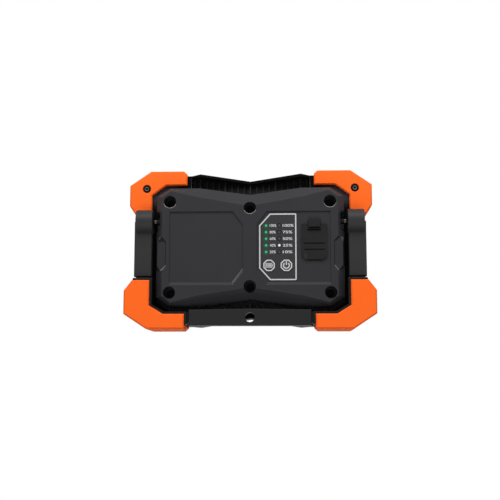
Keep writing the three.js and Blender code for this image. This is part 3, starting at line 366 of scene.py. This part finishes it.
# Reflector: a white moulded tray round the LED modules. Its sides lean out to the lens and throw
# the light forward.

reflector_white = Finish("reflector_white", Roughness=0.28)
reflector_white.feed("Base Color", reflector_white.blend(
    reflector_white.noise(30 * MM), grey(0.66), grey(0.72)))
reflector_white.relief(reflector_white.noise(2.2 * MM, 1), 0.05 * MM, 0.25)
softened("reflector", "housing", reflector_white, "white_plastic", 0.3 * MM)


# Gaskets: flat rings die cut from black silicone sheet. One seals the lens to the bezel, and one
# the rear cover to the heat sink.

seal_rubber = Finish("seal_rubber", Roughness=0.8, Specular_IOR_Level=0.3)
seal_rubber.feed("Base Color", seal_rubber.blend(
    seal_rubber.noise(6 * MM), grey(0.012), grey(0.02)))
seal_rubber.relief(seal_rubber.noise(0.4 * MM), 0.03 * MM, 0.5)
softened("lens_gasket", "housing", seal_rubber, "black_rubber", 0.15 * MM)
softened("cover_gasket", "housing", seal_rubber, "black_rubber", 0.15 * MM)


# Lens: one flat sheet of clear polycarbonate, 3 mm thick, held between the reflector and the
# bezel. It isn't tinted, and its cut edge is only broken.

clear = Finish("clear_lens", IOR=1.49, Transmission_Weight=1.0, Base_Color=(0.98, 0.99, 1, 1))
clear.feed("Roughness", clear.between(clear.noise(12 * MM), 0.02, 0.06))
softened("lens", "housing", clear, "clear_lens", 0.2 * MM)


# Front bezel: the black ABS frame round the window, fixed by the bumpers' four long screws. Its
# window's edge slopes down to the lens.

bezel_black = moulded_black("bezel_black", 0.014, 0.03)
softened("front_bezel", "housing", bezel_black, "black_plastic", 0.35 * MM)


# Rear cover: the control side's black ABS shell. It slopes up to a flat face with two recessed
# panels, six deep screw recesses, and a finger hollow in each side beside the stand's arms.

PALEST = 12.0                 # painted highlights: the marks go from an edge's full highlight to the palest
HOLLOW_LEDGE = 6.5
PANEL_CORNER = 4.9
SHADED = -1.0
cover_black = moulded_black("cover_black", 0.028, 0.05, gloss=0.09, tint=0.14)
# Faces with the higher marks are painted paler, a painted highlight; faces marked as shaded are
# painted near-black, a painted shade.
pale = (cover_black.rounded_edge() - FULL_EDGE_HIGHLIGHT) * (1 / (PALEST - FULL_EDGE_HIGHLIGHT))
shaded = cover_black.rounded_edge() < SHADED / 2
cover_tone = cover_black.blend(shaded, cover_black.colour, grey(0.009, 0.14))
cover_black.feed("Base Color", cover_black.blend(pale, cover_tone, grey(0.34)))

FACE_Y = cad_box[0].y + 2.5 * MM
MOUTH_RADIUS = 4.85 * MM
MOUTH_REACH = MOUTH_RADIUS + 0.1 * MM
CORNERS = ("upper_left", "upper_right", "lower_left", "lower_right")
COVER_SCREWS = CORNERS + ("upper_middle", "lower_middle")


def middle_of(node):
    """The middle (x, z) of a CAD node's box."""
    low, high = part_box(node)
    return (low.x + high.x) / 2, (low.z + high.z) / 2


recesses = [middle_of("cover_screw_" + place) for place in COVER_SCREWS]


def at_recess(edge):
    """Whether an edge is part of a screw recess's mouth."""
    middle = (edge.verts[0].co + edge.verts[1].co) / 2
    return abs(middle.y - FACE_Y) < 0.1 * MM and any(
        math.hypot(middle.x - x, middle.z - z) < MOUTH_REACH for x, z in recesses)


def lit_rim(edge):
    """Whether an edge is in the lower part of an upper recess's mouth and faces the lamp."""
    middle = (edge.verts[0].co + edge.verts[1].co) / 2
    return at_recess(edge) and any(
        math.hypot(middle.x - x, middle.z - z) < MOUTH_REACH
        and middle.z < z - 0.3 * MOUTH_RADIUS and z > MID_HEIGHT for x, z in recesses)


CORNER_X = (-17 * MM, -3 * MM)
CORNER_Z = (36 * MM, 56 * MM)
CORNER_RUN = 2 * MM


def at_panel_corner(edge):
    """Whether an edge is the slanted lower corner of the left panel, which faces the lamp."""
    middle = (edge.verts[0].co + edge.verts[1].co) / 2
    run = edge.verts[0].co - edge.verts[1].co
    return (CORNER_X[0] < middle.x < CORNER_X[1] and CORNER_Z[0] < middle.z < CORNER_Z[1]
            and middle.y < FACE_Y + 2 * MM
            and abs(run.x) > CORNER_RUN and abs(run.z) > CORNER_RUN)


HOLLOW_X = 65 * MM
HOLLOW_Z = (45 * MM, 73 * MM)
cover = whole_faces("rear_cover")
cover_marks = face_marks(cover)
# In each finger hollow the ledge that faces up gets a painted highlight, and the faces that look
# down or sideways get a painted shade.
for face in cover.faces:
    middle = face.calc_center_median()
    in_hollow = abs(middle.x) > HOLLOW_X and HOLLOW_Z[0] < middle.z < HOLLOW_Z[1]
    if in_hollow and face.normal.y < -0.2:
        if face.normal.z > 0.2:
            face[cover_marks] = HOLLOW_LEDGE
        elif face.normal.z < -0.2 or abs(face.normal.x) > 0.7:
            face[cover_marks] = SHADED
# Painted highlights: palest on the lower rims of the upper recesses' mouths, paler on the other
# mouth rims and on the left panel's slanted lower corner.
round_edges(cover, 0.6 * MM, mark=PALEST, where=lit_rim)
round_edges(cover, 0.6 * MM, mark=FULL_EDGE_HIGHLIGHT, where=at_recess)
round_edges(cover, 0.5 * MM, mark=PANEL_CORNER, bend=15, where=at_panel_corner)
round_edges(cover, 0.35 * MM)
piece(cover, "rear_cover_moulding", "housing", cover_black, "black_plastic", "rear_cover")


# Screws: steel socket screws. Six black ones hold the rear cover, four black ones with a painted
# highlight in a ring on their heads hold the bumpers and the bezel, and four small bright ones hold
# the control board.

def metal(name, roughness=0.3):
    """Metal of uneven shine, whose colour is still to be fed."""
    finish = Finish(name, Metallic=1.0)
    finish.feed("Roughness", finish.between(
        finish.noise(0.7 * MM, 3), roughness - 0.08, roughness + 0.08))
    return finish


def mottled_metal(name, dark, bright, roughness=0.3):
    finish = metal(name, roughness)
    finish.feed("Base Color", finish.blend(finish.noise(1.2 * MM, 4), dark, bright))
    return finish


blackened = mottled_metal("blackened_steel", grey(0.002), grey(0.004), 0.4)
plated = mottled_metal("plated_steel", grey(0.42), grey(0.6))


def from_bumper_screw(finish):
    """Distance to the nearest of the four bumper screws."""
    screw_x, screw_z = middle_of("bumper_screw_upper_right")
    above = finish.node("ShaderNodeVectorMath", {"operation": "SUBTRACT"}, {
        0: finish.place, 1: (0, 0, MID_HEIGHT)})
    return distance_from(finish, screw_x, screw_z - MID_HEIGHT, mirrored(finish, above))


# The bumper screws' heads are black, with a painted highlight in a ring round the socket.
ring_highlit = metal("ring_highlit_steel", 0.4)
off_screw = from_bumper_screw(ring_highlit)
highlight_ring = fade(ring_highlit, off_screw, 1.5 * MM, 1.9 * MM)
in_socket = fade(ring_highlit, off_screw, 0.8 * MM, 1.1 * MM)
ring_highlit.feed("Base Color", ring_highlit.blend(highlight_ring * (1 - in_socket), grey(0.003), grey(0.09)))

for place in COVER_SCREWS:
    softened("cover_screw_" + place, "housing", blackened, "steel", 0.25 * MM)
for place in CORNERS:
    softened("bumper_screw_" + place, "housing", ring_highlit, "steel", 0.2 * MM)
for place in ("upper_inner", "upper_outer", "lower_inner", "lower_outer"):
    softened("board_screw_" + place, "housing", plated, "steel", 0.1 * MM)


# Frame bumpers: four corner shells of orange rubber, moulded separately and screwed on. They
# stand proud of the bezel and of the frame's back, so that the light can be laid on its face.

def bumper_rubber(name):
    """Orange rubber, painted deeper in colour where an edge is rounded: a painted shade."""
    finish = Finish(name, Specular_IOR_Level=0.12)
    cloud = finish.noise(14 * MM, 3)
    rounded = finish.rounded_edge()
    base = finish.blend(cloud, (0.97, 0.132, 0.011, 1), (1.0, 0.146, 0.014, 1))
    finish.colour = finish.blend(rounded * 0.35, base, (0.94, 0.085, 0.006, 1))
    finish.feed("Base Color", finish.colour)
    finish.feed("Roughness", finish.between(cloud, 0.55, 0.7))
    finish.relief(finish.noise(0.35 * MM, 3), 0.03 * MM, 0.6)
    return finish


screwed_rubber = bumper_rubber("screwed_rubber")
# Round each bumper screw the rubber is painted near-black: painted shade in the screw's recess.
screw_well_shade = fade(screwed_rubber, from_bumper_screw(screwed_rubber), 3.0 * MM, 3.5 * MM)
screwed_rubber.feed("Base Color", screwed_rubber.blend(
    screw_well_shade, screwed_rubber.colour, grey(0.004)))
for place in CORNERS:
    softened("frame_bumper_" + place, "housing", screwed_rubber, "orange_rubber", 0.9 * MM,
             segments=4)


# Battery: two 18650 cells in blue shrink wrap, in a moulded holder behind the left panel, with a
# welded nickel strip across each end.

softened("battery_holder", "housing", housing_black, "black_plastic", 0.3 * MM)

cell_wrap = Finish("cell_wrap", Roughness=0.4)
cell_wrap.feed("Base Color", cell_wrap.blend(
    cell_wrap.noise(10 * MM), (0.02, 0.12, 0.36, 1), (0.03, 0.16, 0.45, 1)))
cell_wrap.relief(cell_wrap.noise(2 * MM), 0.04 * MM, 0.4)
for side in ("left", "right"):
    softened("battery_cell_" + side, "housing", cell_wrap, "cell_wrap", 0.8 * MM)
for place in ("upper", "lower"):
    softened("battery_strip_" + place, "housing", plated, "steel", 0.05 * MM)


# Control board: a green fibreglass board behind the right panel, with a metal-domed switch under
# each button and the two USB sockets standing through it.

board_green = Finish("board_green", Roughness=0.4)
board_green.feed("Base Color", board_green.blend(
    board_green.noise(1.5 * MM, 4), (0.012, 0.09, 0.03, 1), (0.02, 0.13, 0.045, 1)))
board_green.relief(board_green.noise(0.9 * MM), 0.03 * MM, 0.4)
softened("control_board", "housing", board_green, "circuit_board", 0.1 * MM)
for key in ("battery", "power"):
    softened(key + "_switch", "housing", plated, "steel", 0.15 * MM)
for port in ("output", "input"):
    softened(f"usb_{port}_port", "housing", plated, "steel", 0.12 * MM)


# Lamps: two clear acrylic light guides with five round pegs each. The left column glows green
# for the battery's charge, and in the right column one white lamp shows the chosen level.

TOP_LAMP_Z, LAMP_PITCH = 80.5, 5.2
LAMP_ROWS = [(TOP_LAMP_Z - LAMP_PITCH * row) * MM for row in range(5)]
LEVEL_X, MODE_X = 12.7 * MM, 23.0 * MM
LIT_ROW = 3


def nearest_lamp(finish, x):
    """Distance to the nearest lamp of a column."""
    near = distance_from(finish, x, LAMP_ROWS[0])
    for z in LAMP_ROWS[1:]:
        near = near.maths("MINIMUM", near, distance_from(finish, x, z))
    return near


green_lamp = Finish("green_lamp", Roughness=0.3, Emission_Strength=1.0, Specular_IOR_Level=0.2)
core = fade(green_lamp, nearest_lamp(green_lamp, LEVEL_X), 0.1 * MM, 1.5 * MM)
green_lamp.feed("Base Color", green_lamp.blend(core, (0, 0.03, 0.012, 1), (0.01, 0.1, 0.05, 1)))
green_lamp.feed("Emission Color", green_lamp.blend(
    core, (0.002, 0.06, 0.026, 1), (0.085, 0.42, 0.23, 1)))
softened("level_light_guide", "housing", green_lamp, "green_lamp", 0.15 * MM)

mode_lamp = Finish("mode_lamp", Roughness=0.35, Emission_Strength=1.0, Specular_IOR_Level=0.2)
lit = fade(mode_lamp, distance_from(mode_lamp, MODE_X, LAMP_ROWS[LIT_ROW]), 0.6 * MM, 1.35 * MM)
frosted = fade(mode_lamp, nearest_lamp(mode_lamp, MODE_X), 0.3 * MM, 1.2 * MM)
mode_lamp.feed("Base Color", mode_lamp.blend(frosted, grey(0.018, 0.1), grey(0.06, 0.05)))
mode_lamp.feed("Emission Color", mode_lamp.blend(lit, grey(0), grey(0.8)))
softened("mode_light_guide", "housing", mode_lamp, "white_lamp", 0.15 * MM)


# Control label: a black polyester film, glued into the right panel and cut out round the lamps and
# buttons. Its border and its two scales are printed in white.

label_film = Finish("label_film", Specular_IOR_Level=0.25)
label_film.feed("Base Color", label_film.blend(
    label_film.noise(12 * MM), grey(0.016, 0.16), grey(0.019, 0.16)))
label_film.feed("Roughness", label_film.between(label_film.noise(8 * MM), 0.42, 0.52))
label_film.relief(label_film.noise(0.25 * MM), 0.01 * MM, 0.4)
# Round the green lamps the film is given a painted green glow: painted light from the lamps, though
# the film is no lamp.
glow = fade(label_film, nearest_lamp(label_film, LEVEL_X), 1.2 * MM, 3.4 * MM)
label_film.feed("Emission Color", label_film.blend(glow, grey(0), (0, 0.03, 0.011, 1)))
label_film.feed("Emission Strength", 1.0)
softened("control_label", "housing", label_film, "label_film", 0.05 * MM)

print_white = Finish("print_white", Roughness=0.5, Specular_IOR_Level=0.3)
print_white.feed("Base Color", print_white.blend(
    print_white.noise(1.5 * MM), grey(0.5), grey(0.56)))
INK = 0.04 * MM


def outline_face(shape, points, y):
    """A face through points given as (x, z), at a depth."""
    face = shape.faces.new([shape.verts.new((x, y, z)) for x, z in points])
    face.normal_update()
    return face


def ribbon(shape, points, y, width):
    """A printed line of the given width just inside an outline."""
    face = outline_face(shape, points, y)
    bmesh.ops.inset_individual(shape, faces=[face], thickness=width, use_even_offset=True)
    bmesh.ops.delete(shape, geom=[face], context="FACES_ONLY")


def octagon(x, z, across):
    radius = across / 2 / math.cos(math.pi / 8)
    return [(x + radius * math.cos(math.pi / 8 * (2 * corner + 1)),
             z + radius * math.sin(math.pi / 8 * (2 * corner + 1))) for corner in range(8)]


def box_outline(x, z, width, height):
    return [(x - width / 2, z - height / 2), (x + width / 2, z - height / 2),
            (x + width / 2, z + height / 2), (x - width / 2, z + height / 2)]


def printed(shape, name, body):
    """Gives flat printed shapes their thickness of ink, towards the user."""
    bmesh.ops.recalc_face_normals(shape, faces=shape.faces)
    for face in shape.faces:
        if face.normal.y < 0:
            face.normal_flip()
    made = bmesh.ops.extrude_face_region(shape, geom=list(shape.faces))
    raised = [v for v in made["geom"] if isinstance(v, bmesh.types.BMVert)]
    bmesh.ops.translate(shape, vec=(0, -INK, 0), verts=raised)
    bmesh.ops.recalc_face_normals(shape, faces=shape.faces)
    piece(shape, name, body, print_white, "label_film", sharp=30)


label_low, label_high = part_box("control_label")
SLANT_X, SLANT_Z = 8.4 * MM, 9.4 * MM
NICK = 0.6 * MM
MARGIN = 0.7 * MM
BORDER_WIDTH = 0.95 * MM
left, right = label_low.x + MARGIN, label_high.x - MARGIN
bottom, top = label_low.z + MARGIN / 2, label_high.z - MARGIN
border = bmesh.new()
ribbon(border, [
    (left, top - SLANT_Z), (left + SLANT_X, top),
    (right - NICK, top), (right, top - NICK),
    (right, bottom + NICK), (right - NICK, bottom),
    (left + SLANT_X, bottom), (left, bottom + SLANT_Z),
], label_low.y, BORDER_WIDTH)
printed(border, "label_border", "housing")


def words(text, x, z, height, width):
    """A bmesh of a line of print, its left end at x and its middle height at z."""
    letters = bpy.data.curves.new("letters", "FONT")
    letters.body = text
    letters.size = 1
    letters.offset = 0.02
    letters.resolution_u = 3
    source = bpy.data.objects.new("letters", letters)
    shape = bmesh.new()
    shape.from_mesh(bpy.data.meshes.new_from_object(source))
    bpy.data.objects.remove(source)
    bpy.data.curves.remove(letters)
    low = Vector(min(v.co[axis] for v in shape.verts) for axis in range(3))
    high = Vector(max(v.co[axis] for v in shape.verts) for axis in range(3))
    size = high - low
    bmesh.ops.translate(shape, vec=(-low.x, -(low.y + high.y) / 2, 0), verts=shape.verts)
    bmesh.ops.scale(shape, vec=(width / size.x, height / size.y, 1), verts=shape.verts)
    bmesh.ops.rotate(shape, cent=(0, 0, 0), verts=shape.verts,
                     matrix=Matrix.Rotation(math.pi / 2, 3, "X"))
    bmesh.ops.translate(shape, vec=(x, label_low.y, z), verts=shape.verts)
    return shape


def add(shape, other):
    """Adds the other shape's faces to the shape, and frees the other."""
    spare = bpy.data.meshes.new("spare")
    other.to_mesh(spare)
    other.free()
    shape.from_mesh(spare)
    bpy.data.meshes.remove(spare)


LETTER_HEIGHT = 2.2 * MM
LEVEL_SCALE = ("100%", "80%", "60%", "40%", "20%")
MODE_SCALE = ("100%", "75%", "50%", "25%", "10%")
for name, scale, x, wide, narrow in (
        ("level_scale", LEVEL_SCALE, 15.5 * MM, 5.3 * MM, 4.7 * MM),
        ("mode_scale", MODE_SCALE, 25.6 * MM, 8.6 * MM, 7.6 * MM)):
    shape = bmesh.new()
    for row, text in enumerate(scale):
        width = wide if row == 0 else narrow
        add(shape, words(text, x, LAMP_ROWS[row], LETTER_HEIGHT, width))
    bmesh.ops.dissolve_limit(shape, angle_limit=0.01, verts=shape.verts, edges=shape.edges)
    printed(shape, name, "housing")


# Buttons: two octagonal keys of black rubber, held in by a flange behind the face, with their
# signs printed in white. Each moves in by half a millimetre to press its switch.

key_rubber = Finish("key_rubber", Specular_IOR_Level=0.3)
key_rubber.feed("Base Color", key_rubber.blend(
    key_rubber.noise(5 * MM), grey(0.020, 0.06), grey(0.026, 0.06)))
key_rubber.feed("Roughness", key_rubber.between(key_rubber.noise(4 * MM), 0.55, 0.68))
key_rubber.relief(key_rubber.noise(0.3 * MM), 0.02 * MM, 0.5)
OCTAGON_SIZE = 8.9 * MM
KEY_LINE = 0.9 * MM
CASE_WIDTH, CASE_HEIGHT = 5.2 * MM, 3.6 * MM
CASE_LINE = 0.42 * MM
BAR_WIDTH, BAR_PITCH = 0.62 * MM, 1.0 * MM
ARC_RADIUS = 2.7 * MM
ARC_GAP = math.radians(40)    # from the power sign's stem to each end of its arc
ARC_STEPS = 32


def battery_sign(shape, x, y, z):
    """A battery lying on its side, with four bars in its case and a stud at its right end."""
    ribbon(shape, box_outline(x - 0.25 * MM, z, CASE_WIDTH, CASE_HEIGHT), y, CASE_LINE)
    for bar in range(4):
        outline_face(shape, box_outline(
            x - 1.75 * MM + bar * BAR_PITCH, z, BAR_WIDTH, CASE_HEIGHT - 1.3 * MM), y)
    outline_face(shape, box_outline(x + 2.55 * MM, z, 0.6 * MM, 1.5 * MM), y)


def power_sign(shape, x, y, z):
    """An arc that is open at the top, and a stem in its gap."""
    arc = [ARC_GAP + (2 * math.pi - 2 * ARC_GAP) * step / ARC_STEPS for step in range(ARC_STEPS + 1)]
    for turn, following in zip(arc, arc[1:]):
        outline_face(shape, [(x + r * math.sin(a), z + r * math.cos(a)) for r, a in (
            (ARC_RADIUS, turn), (ARC_RADIUS, following),
            (ARC_RADIUS - KEY_LINE, following), (ARC_RADIUS - KEY_LINE, turn))], y)
    bmesh.ops.remove_doubles(shape, verts=shape.verts, dist=0.001 * MM)
    outline_face(shape, box_outline(x, z + 1.7 * MM, KEY_LINE, 3.0 * MM), y)


for key, draw_sign in (("battery", battery_sign), ("power", power_sign)):
    softened(key + "_button", key + "_button", key_rubber, "black_rubber", 0.25 * MM)
    x, z = middle_of(key + "_button")
    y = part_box(key + "_button")[0].y
    sign = bmesh.new()
    ribbon(sign, octagon(x, z, OCTAGON_SIZE), y, KEY_LINE)
    draw_sign(sign, x, y, z)
    printed(sign, key + "_sign", key + "_button")


# Port cover: a soft black rubber flap over the USB sockets. It hangs on a neck at its lower end,
# which an anchor behind the face holds, and a raised tab at the top lifts it.

flap_rubber = Finish("flap_rubber", Specular_IOR_Level=0.12)
flap_tone = flap_rubber.blend(flap_rubber.noise(9 * MM), grey(0.009, 0.1), grey(0.0115, 0.1))
# Its rounded edges and the faces of its sunk grooves and dips are painted near-black: painted shade.
flap_rubber.feed("Base Color", flap_rubber.blend(
    flap_rubber.rounded_edge(), flap_tone, grey(0.0015)))
flap_rubber.feed("Roughness", flap_rubber.between(flap_rubber.noise(6 * MM), 0.6, 0.75))
flap_rubber.relief(flap_rubber.noise(0.35 * MM), 0.03 * MM, 0.5)


def sink(shape, low, high, y, depth):
    """Sinks the part between two corners (x, z) of a face that looks at the user, and marks it."""
    marks = face_marks(shape)
    for axis, places in ((0, (low[0], high[0])), (2, (low[1], high[1]))):
        normal = [float(axis == each) for each in range(3)]
        for place in places:
            spot = [place if axis == each else 0 for each in range(3)]
            geometry = shape.verts[:] + shape.edges[:] + shape.faces[:]
            bmesh.ops.bisect_plane(shape, geom=geometry, plane_co=spot, plane_no=normal)
    shape.normal_update()
    sunk = [face for face in shape.faces if face.normal.y < -0.9
            and abs(face.calc_center_median().y - y) < 0.1 * MM
            and low[0] < face.calc_center_median().x < high[0]
            and low[1] < face.calc_center_median().z < high[1]]
    made = bmesh.ops.extrude_face_region(shape, geom=sunk)["geom"]
    bmesh.ops.delete(shape, geom=sunk, context="FACES")
    floor = [v for v in made if isinstance(v, bmesh.types.BMVert)]
    bmesh.ops.translate(shape, vec=(0, depth, 0), verts=floor)
    for vert in floor:
        for face in vert.link_faces:
            face[marks] = ROUNDED


FLAP_BACK, TAB_BACK = -21.1 * MM, -22.7 * MM
flap_low, flap_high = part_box("port_cover")
GROOVE_END, GROOVE_HALF = 2.2 * MM, 0.5 * MM
flap_holes = [
    # inset from each side, lower and upper end, the face it is in, depth
    (GROOVE_END, 61.4 * MM - GROOVE_HALF, 61.4 * MM + GROOVE_HALF, FLAP_BACK, 0.6 * MM),
    (GROOVE_END, 66.2 * MM - GROOVE_HALF, 66.2 * MM + GROOVE_HALF, FLAP_BACK, 0.6 * MM),
    (5.6 * MM, 77.35 * MM, 79.0 * MM, TAB_BACK, 2.2 * MM),
    (5.0 * MM, 76.2 * MM, 77.3 * MM, FLAP_BACK, 0.9 * MM)]


def at_top_corner(edge):
    """Whether an edge is one of the flap's two upper corners."""
    run = edge.verts[0].co - edge.verts[1].co
    return all(v.co.z > flap_high.z - 0.1 * MM for v in edge.verts) and abs(run.y) > 0.5 * MM


def at_flap_side(edge):
    """Whether an edge is in the flap's outer face and near its left or right side."""
    off_side = min(abs(v.co.x - x) for v in edge.verts for x in (flap_low.x, flap_high.x))
    return off_side < 3 * MM and all(abs(v.co.y - FLAP_BACK) < 0.05 * MM for v in edge.verts)


flap = whole_faces("port_cover")
round_edges(flap, 2.0 * MM, segments=4, where=at_top_corner)
for inset, bottom, top, y, depth in flap_holes:
    sink(flap, (flap_low.x + inset, bottom), (flap_high.x - inset, top), y, depth)
round_edges(flap, 0.7 * MM, segments=3, where=at_flap_side)
piece(flap, "port_cover_moulding", "port_cover", flap_rubber, "black_rubber", "port_cover")
softened("port_cover_anchor", "housing", flap_rubber, "black_rubber", 0.2 * MM)


# Pivots: a steel bolt on each side is screwed into a brass insert in the cover. The stand turns on
# it by a brass bush in its knuckle, with a thin washer under the bolt's head.

SHOULDER_X = 74.6 * MM         # where the bolt shows between the cover and the stand
brass = mottled_metal("turned_brass", (0.55, 0.36, 0.12, 1), (0.66, 0.45, 0.17, 1), 0.32)
bolt_steel = metal("bolt_steel")
bolt_x = bolt_steel.along("X")
off_shoulder = bolt_x.maths("ABSOLUTE", bolt_x) - SHOULDER_X
# The bolt is near-black but for a painted glint on its shoulder, where it shows between the cover
# and the stand.
shoulder_glint = fade(bolt_steel, off_shoulder.maths("ABSOLUTE", off_shoulder), 0.3 * MM, 0.9 * MM)
bolt_steel.feed("Base Color", bolt_steel.blend(shoulder_glint, grey(0.006), grey(0.05)))
for side in ("left", "right"):
    softened("pivot_bolt_" + side, "housing", bolt_steel, "steel", 0.2 * MM)
    softened("pivot_insert_" + side, "housing", brass, "brass", 0.15 * MM)
    softened("pivot_washer_" + side, "housing", blackened, "steel", 0.08 * MM)
    softened("pivot_bush_" + side, "stand", brass, "brass", 0.1 * MM)


# Stand: one black glass-filled nylon moulding of two arms and a bar. It turns on the pivots, and
# the bar has a hole to hang the light by.

SLEEVE_X, SLEEVE_Z = 47.6 * MM, 39.2 * MM      # the part that the bumpers cover, and its rim
stand_black = moulded_black("stand_black", 0.022, 0.04, gloss=0.15)
stand_x, stand_z = stand_black.along("X"), stand_black.along("Z")
# Where the stand's core shows round its bumpers it is painted near-black: painted shade.
shade_under_bumper = (stand_x.maths("ABSOLUTE", stand_x) > SLEEVE_X) * (stand_z < SLEEVE_Z)
# The stand is painted darker towards the bar at the bottom: painted shade of light that falls from
# above.
shade_towards_bar = fade(stand_black, stand_z, 10 * MM, 60 * MM) * 0.62
stand_tone = stand_black.blend(shade_towards_bar, stand_black.colour, grey(0.004))
stand_black.feed("Base Color", stand_black.blend(shade_under_bumper, stand_tone, grey(0.0015)))
softened("stand_bracket", "stand", stand_black, "black_plastic", 0.5 * MM, segments=3)


# Stand bumpers: two orange rubber shells pressed round the stand's lower corners. They are the
# light's feet.

pressed_rubber = bumper_rubber("pressed_rubber")
for side in ("left", "right"):
    softened("stand_bumper_" + side, "stand", pressed_rubber, "orange_rubber", 0.7 * MM,
             segments=4)


# Studio: a pale floor that only the camera sees, from above, and an even white surround. One lamp is
# above the user's side, a weaker one low down on that side, and a large one beyond the light.

floor_shape = bmesh.new()
bmesh.ops.create_grid(floor_shape, x_segments=1, y_segments=1, size=3)
bmesh.ops.translate(floor_shape, vec=(0, 0, -0.3 * MM), verts=floor_shape.verts)
floor_mesh = bpy.data.meshes.new("floor")
floor_shape.to_mesh(floor_mesh)
floor_shape.free()
floor = bpy.data.objects.new("floor", floor_mesh)
bpy.context.scene.collection.objects.link(floor)
floor_paint = Finish("floor_paint", Roughness=0.9, Base_Color=grey(0.85))
under = floor_paint.node("ShaderNodeNewGeometry", output="Backfacing")
looked_at = floor_paint.node("ShaderNodeLightPath", output="Is Camera Ray")
one_way = floor_paint.node("ShaderNodeMixShader", sockets={
    0: under.maths("MAXIMUM", under, 1 - looked_at),
    1: Value(floor_paint, floor_paint.shader.outputs[0]),
    2: floor_paint.node("ShaderNodeBsdfTransparent")})
floor_paint.connect(floor_paint.tree.nodes["Material Output"].inputs["Surface"], one_way)
floor_mesh.materials.append(floor_paint.material)

AMBIENT = 0.2
world = bpy.data.worlds.new("studio")
world.use_nodes = True
bpy.context.scene.world = world
surround = Nodes(world.node_tree, "Background")
seen = surround.node("ShaderNodeLightPath", output="Is Camera Ray")
for kind in ("Is Glossy Ray", "Is Transmission Ray"):
    seen = seen.maths("MAXIMUM", seen, surround.node("ShaderNodeLightPath", output=kind))
surround.feed("Color", (1, 1, 1, 1))
surround.feed("Strength", seen * (1 - AMBIENT) + AMBIENT)

CENTRE = Vector((0, -0.5 * MM, MID_HEIGHT))


def soft_lamp(name, place, size, watts):
    """A rectangular lamp that is turned to the light's middle."""
    light = bpy.data.lights.new(name, "AREA")
    light.shape = "RECTANGLE"
    light.size, light.size_y = size
    light.energy = watts
    made = bpy.data.objects.new(name, light)
    made.location = place
    made.rotation_euler = (CENTRE - Vector(place)).to_track_quat("-Z", "Y").to_euler()
    bpy.context.scene.collection.objects.link(made)


soft_lamp("overhead_lamp", (0, -0.3, 0.5), (0.7, 0.3), 3.6)
soft_lamp("bounce_lamp", (0, -0.6, -0.35), (1.0, 0.5), 2.6)
soft_lamp("far_lamp", (0, 1.2, 0.7), (1.2, 1.0), 13)

# The camera is on the user's side, a little below the light's middle and turned a little.
EYE_DISTANCE = 0.7
EYE_DROP = math.radians(8)
EYE_TURN = math.radians(2)
AIM = CENTRE + Vector((-0.5 * MM, 0, 0))
eye = bpy.data.cameras.new("eye")
eye.lens = 63
eye.sensor_width = 36
camera = bpy.data.objects.new("eye", eye)
camera.location = AIM + EYE_DISTANCE * Vector((
    math.sin(EYE_TURN) * math.cos(EYE_DROP),
    -math.cos(EYE_TURN) * math.cos(EYE_DROP),
    -math.sin(EYE_DROP)))
camera.rotation_euler = (AIM - camera.location).to_track_quat("-Z", "Y").to_euler()
bpy.context.scene.collection.objects.link(camera)
bpy.context.scene.camera = camera
bpy.context.scene.view_settings.view_transform = "Standard"
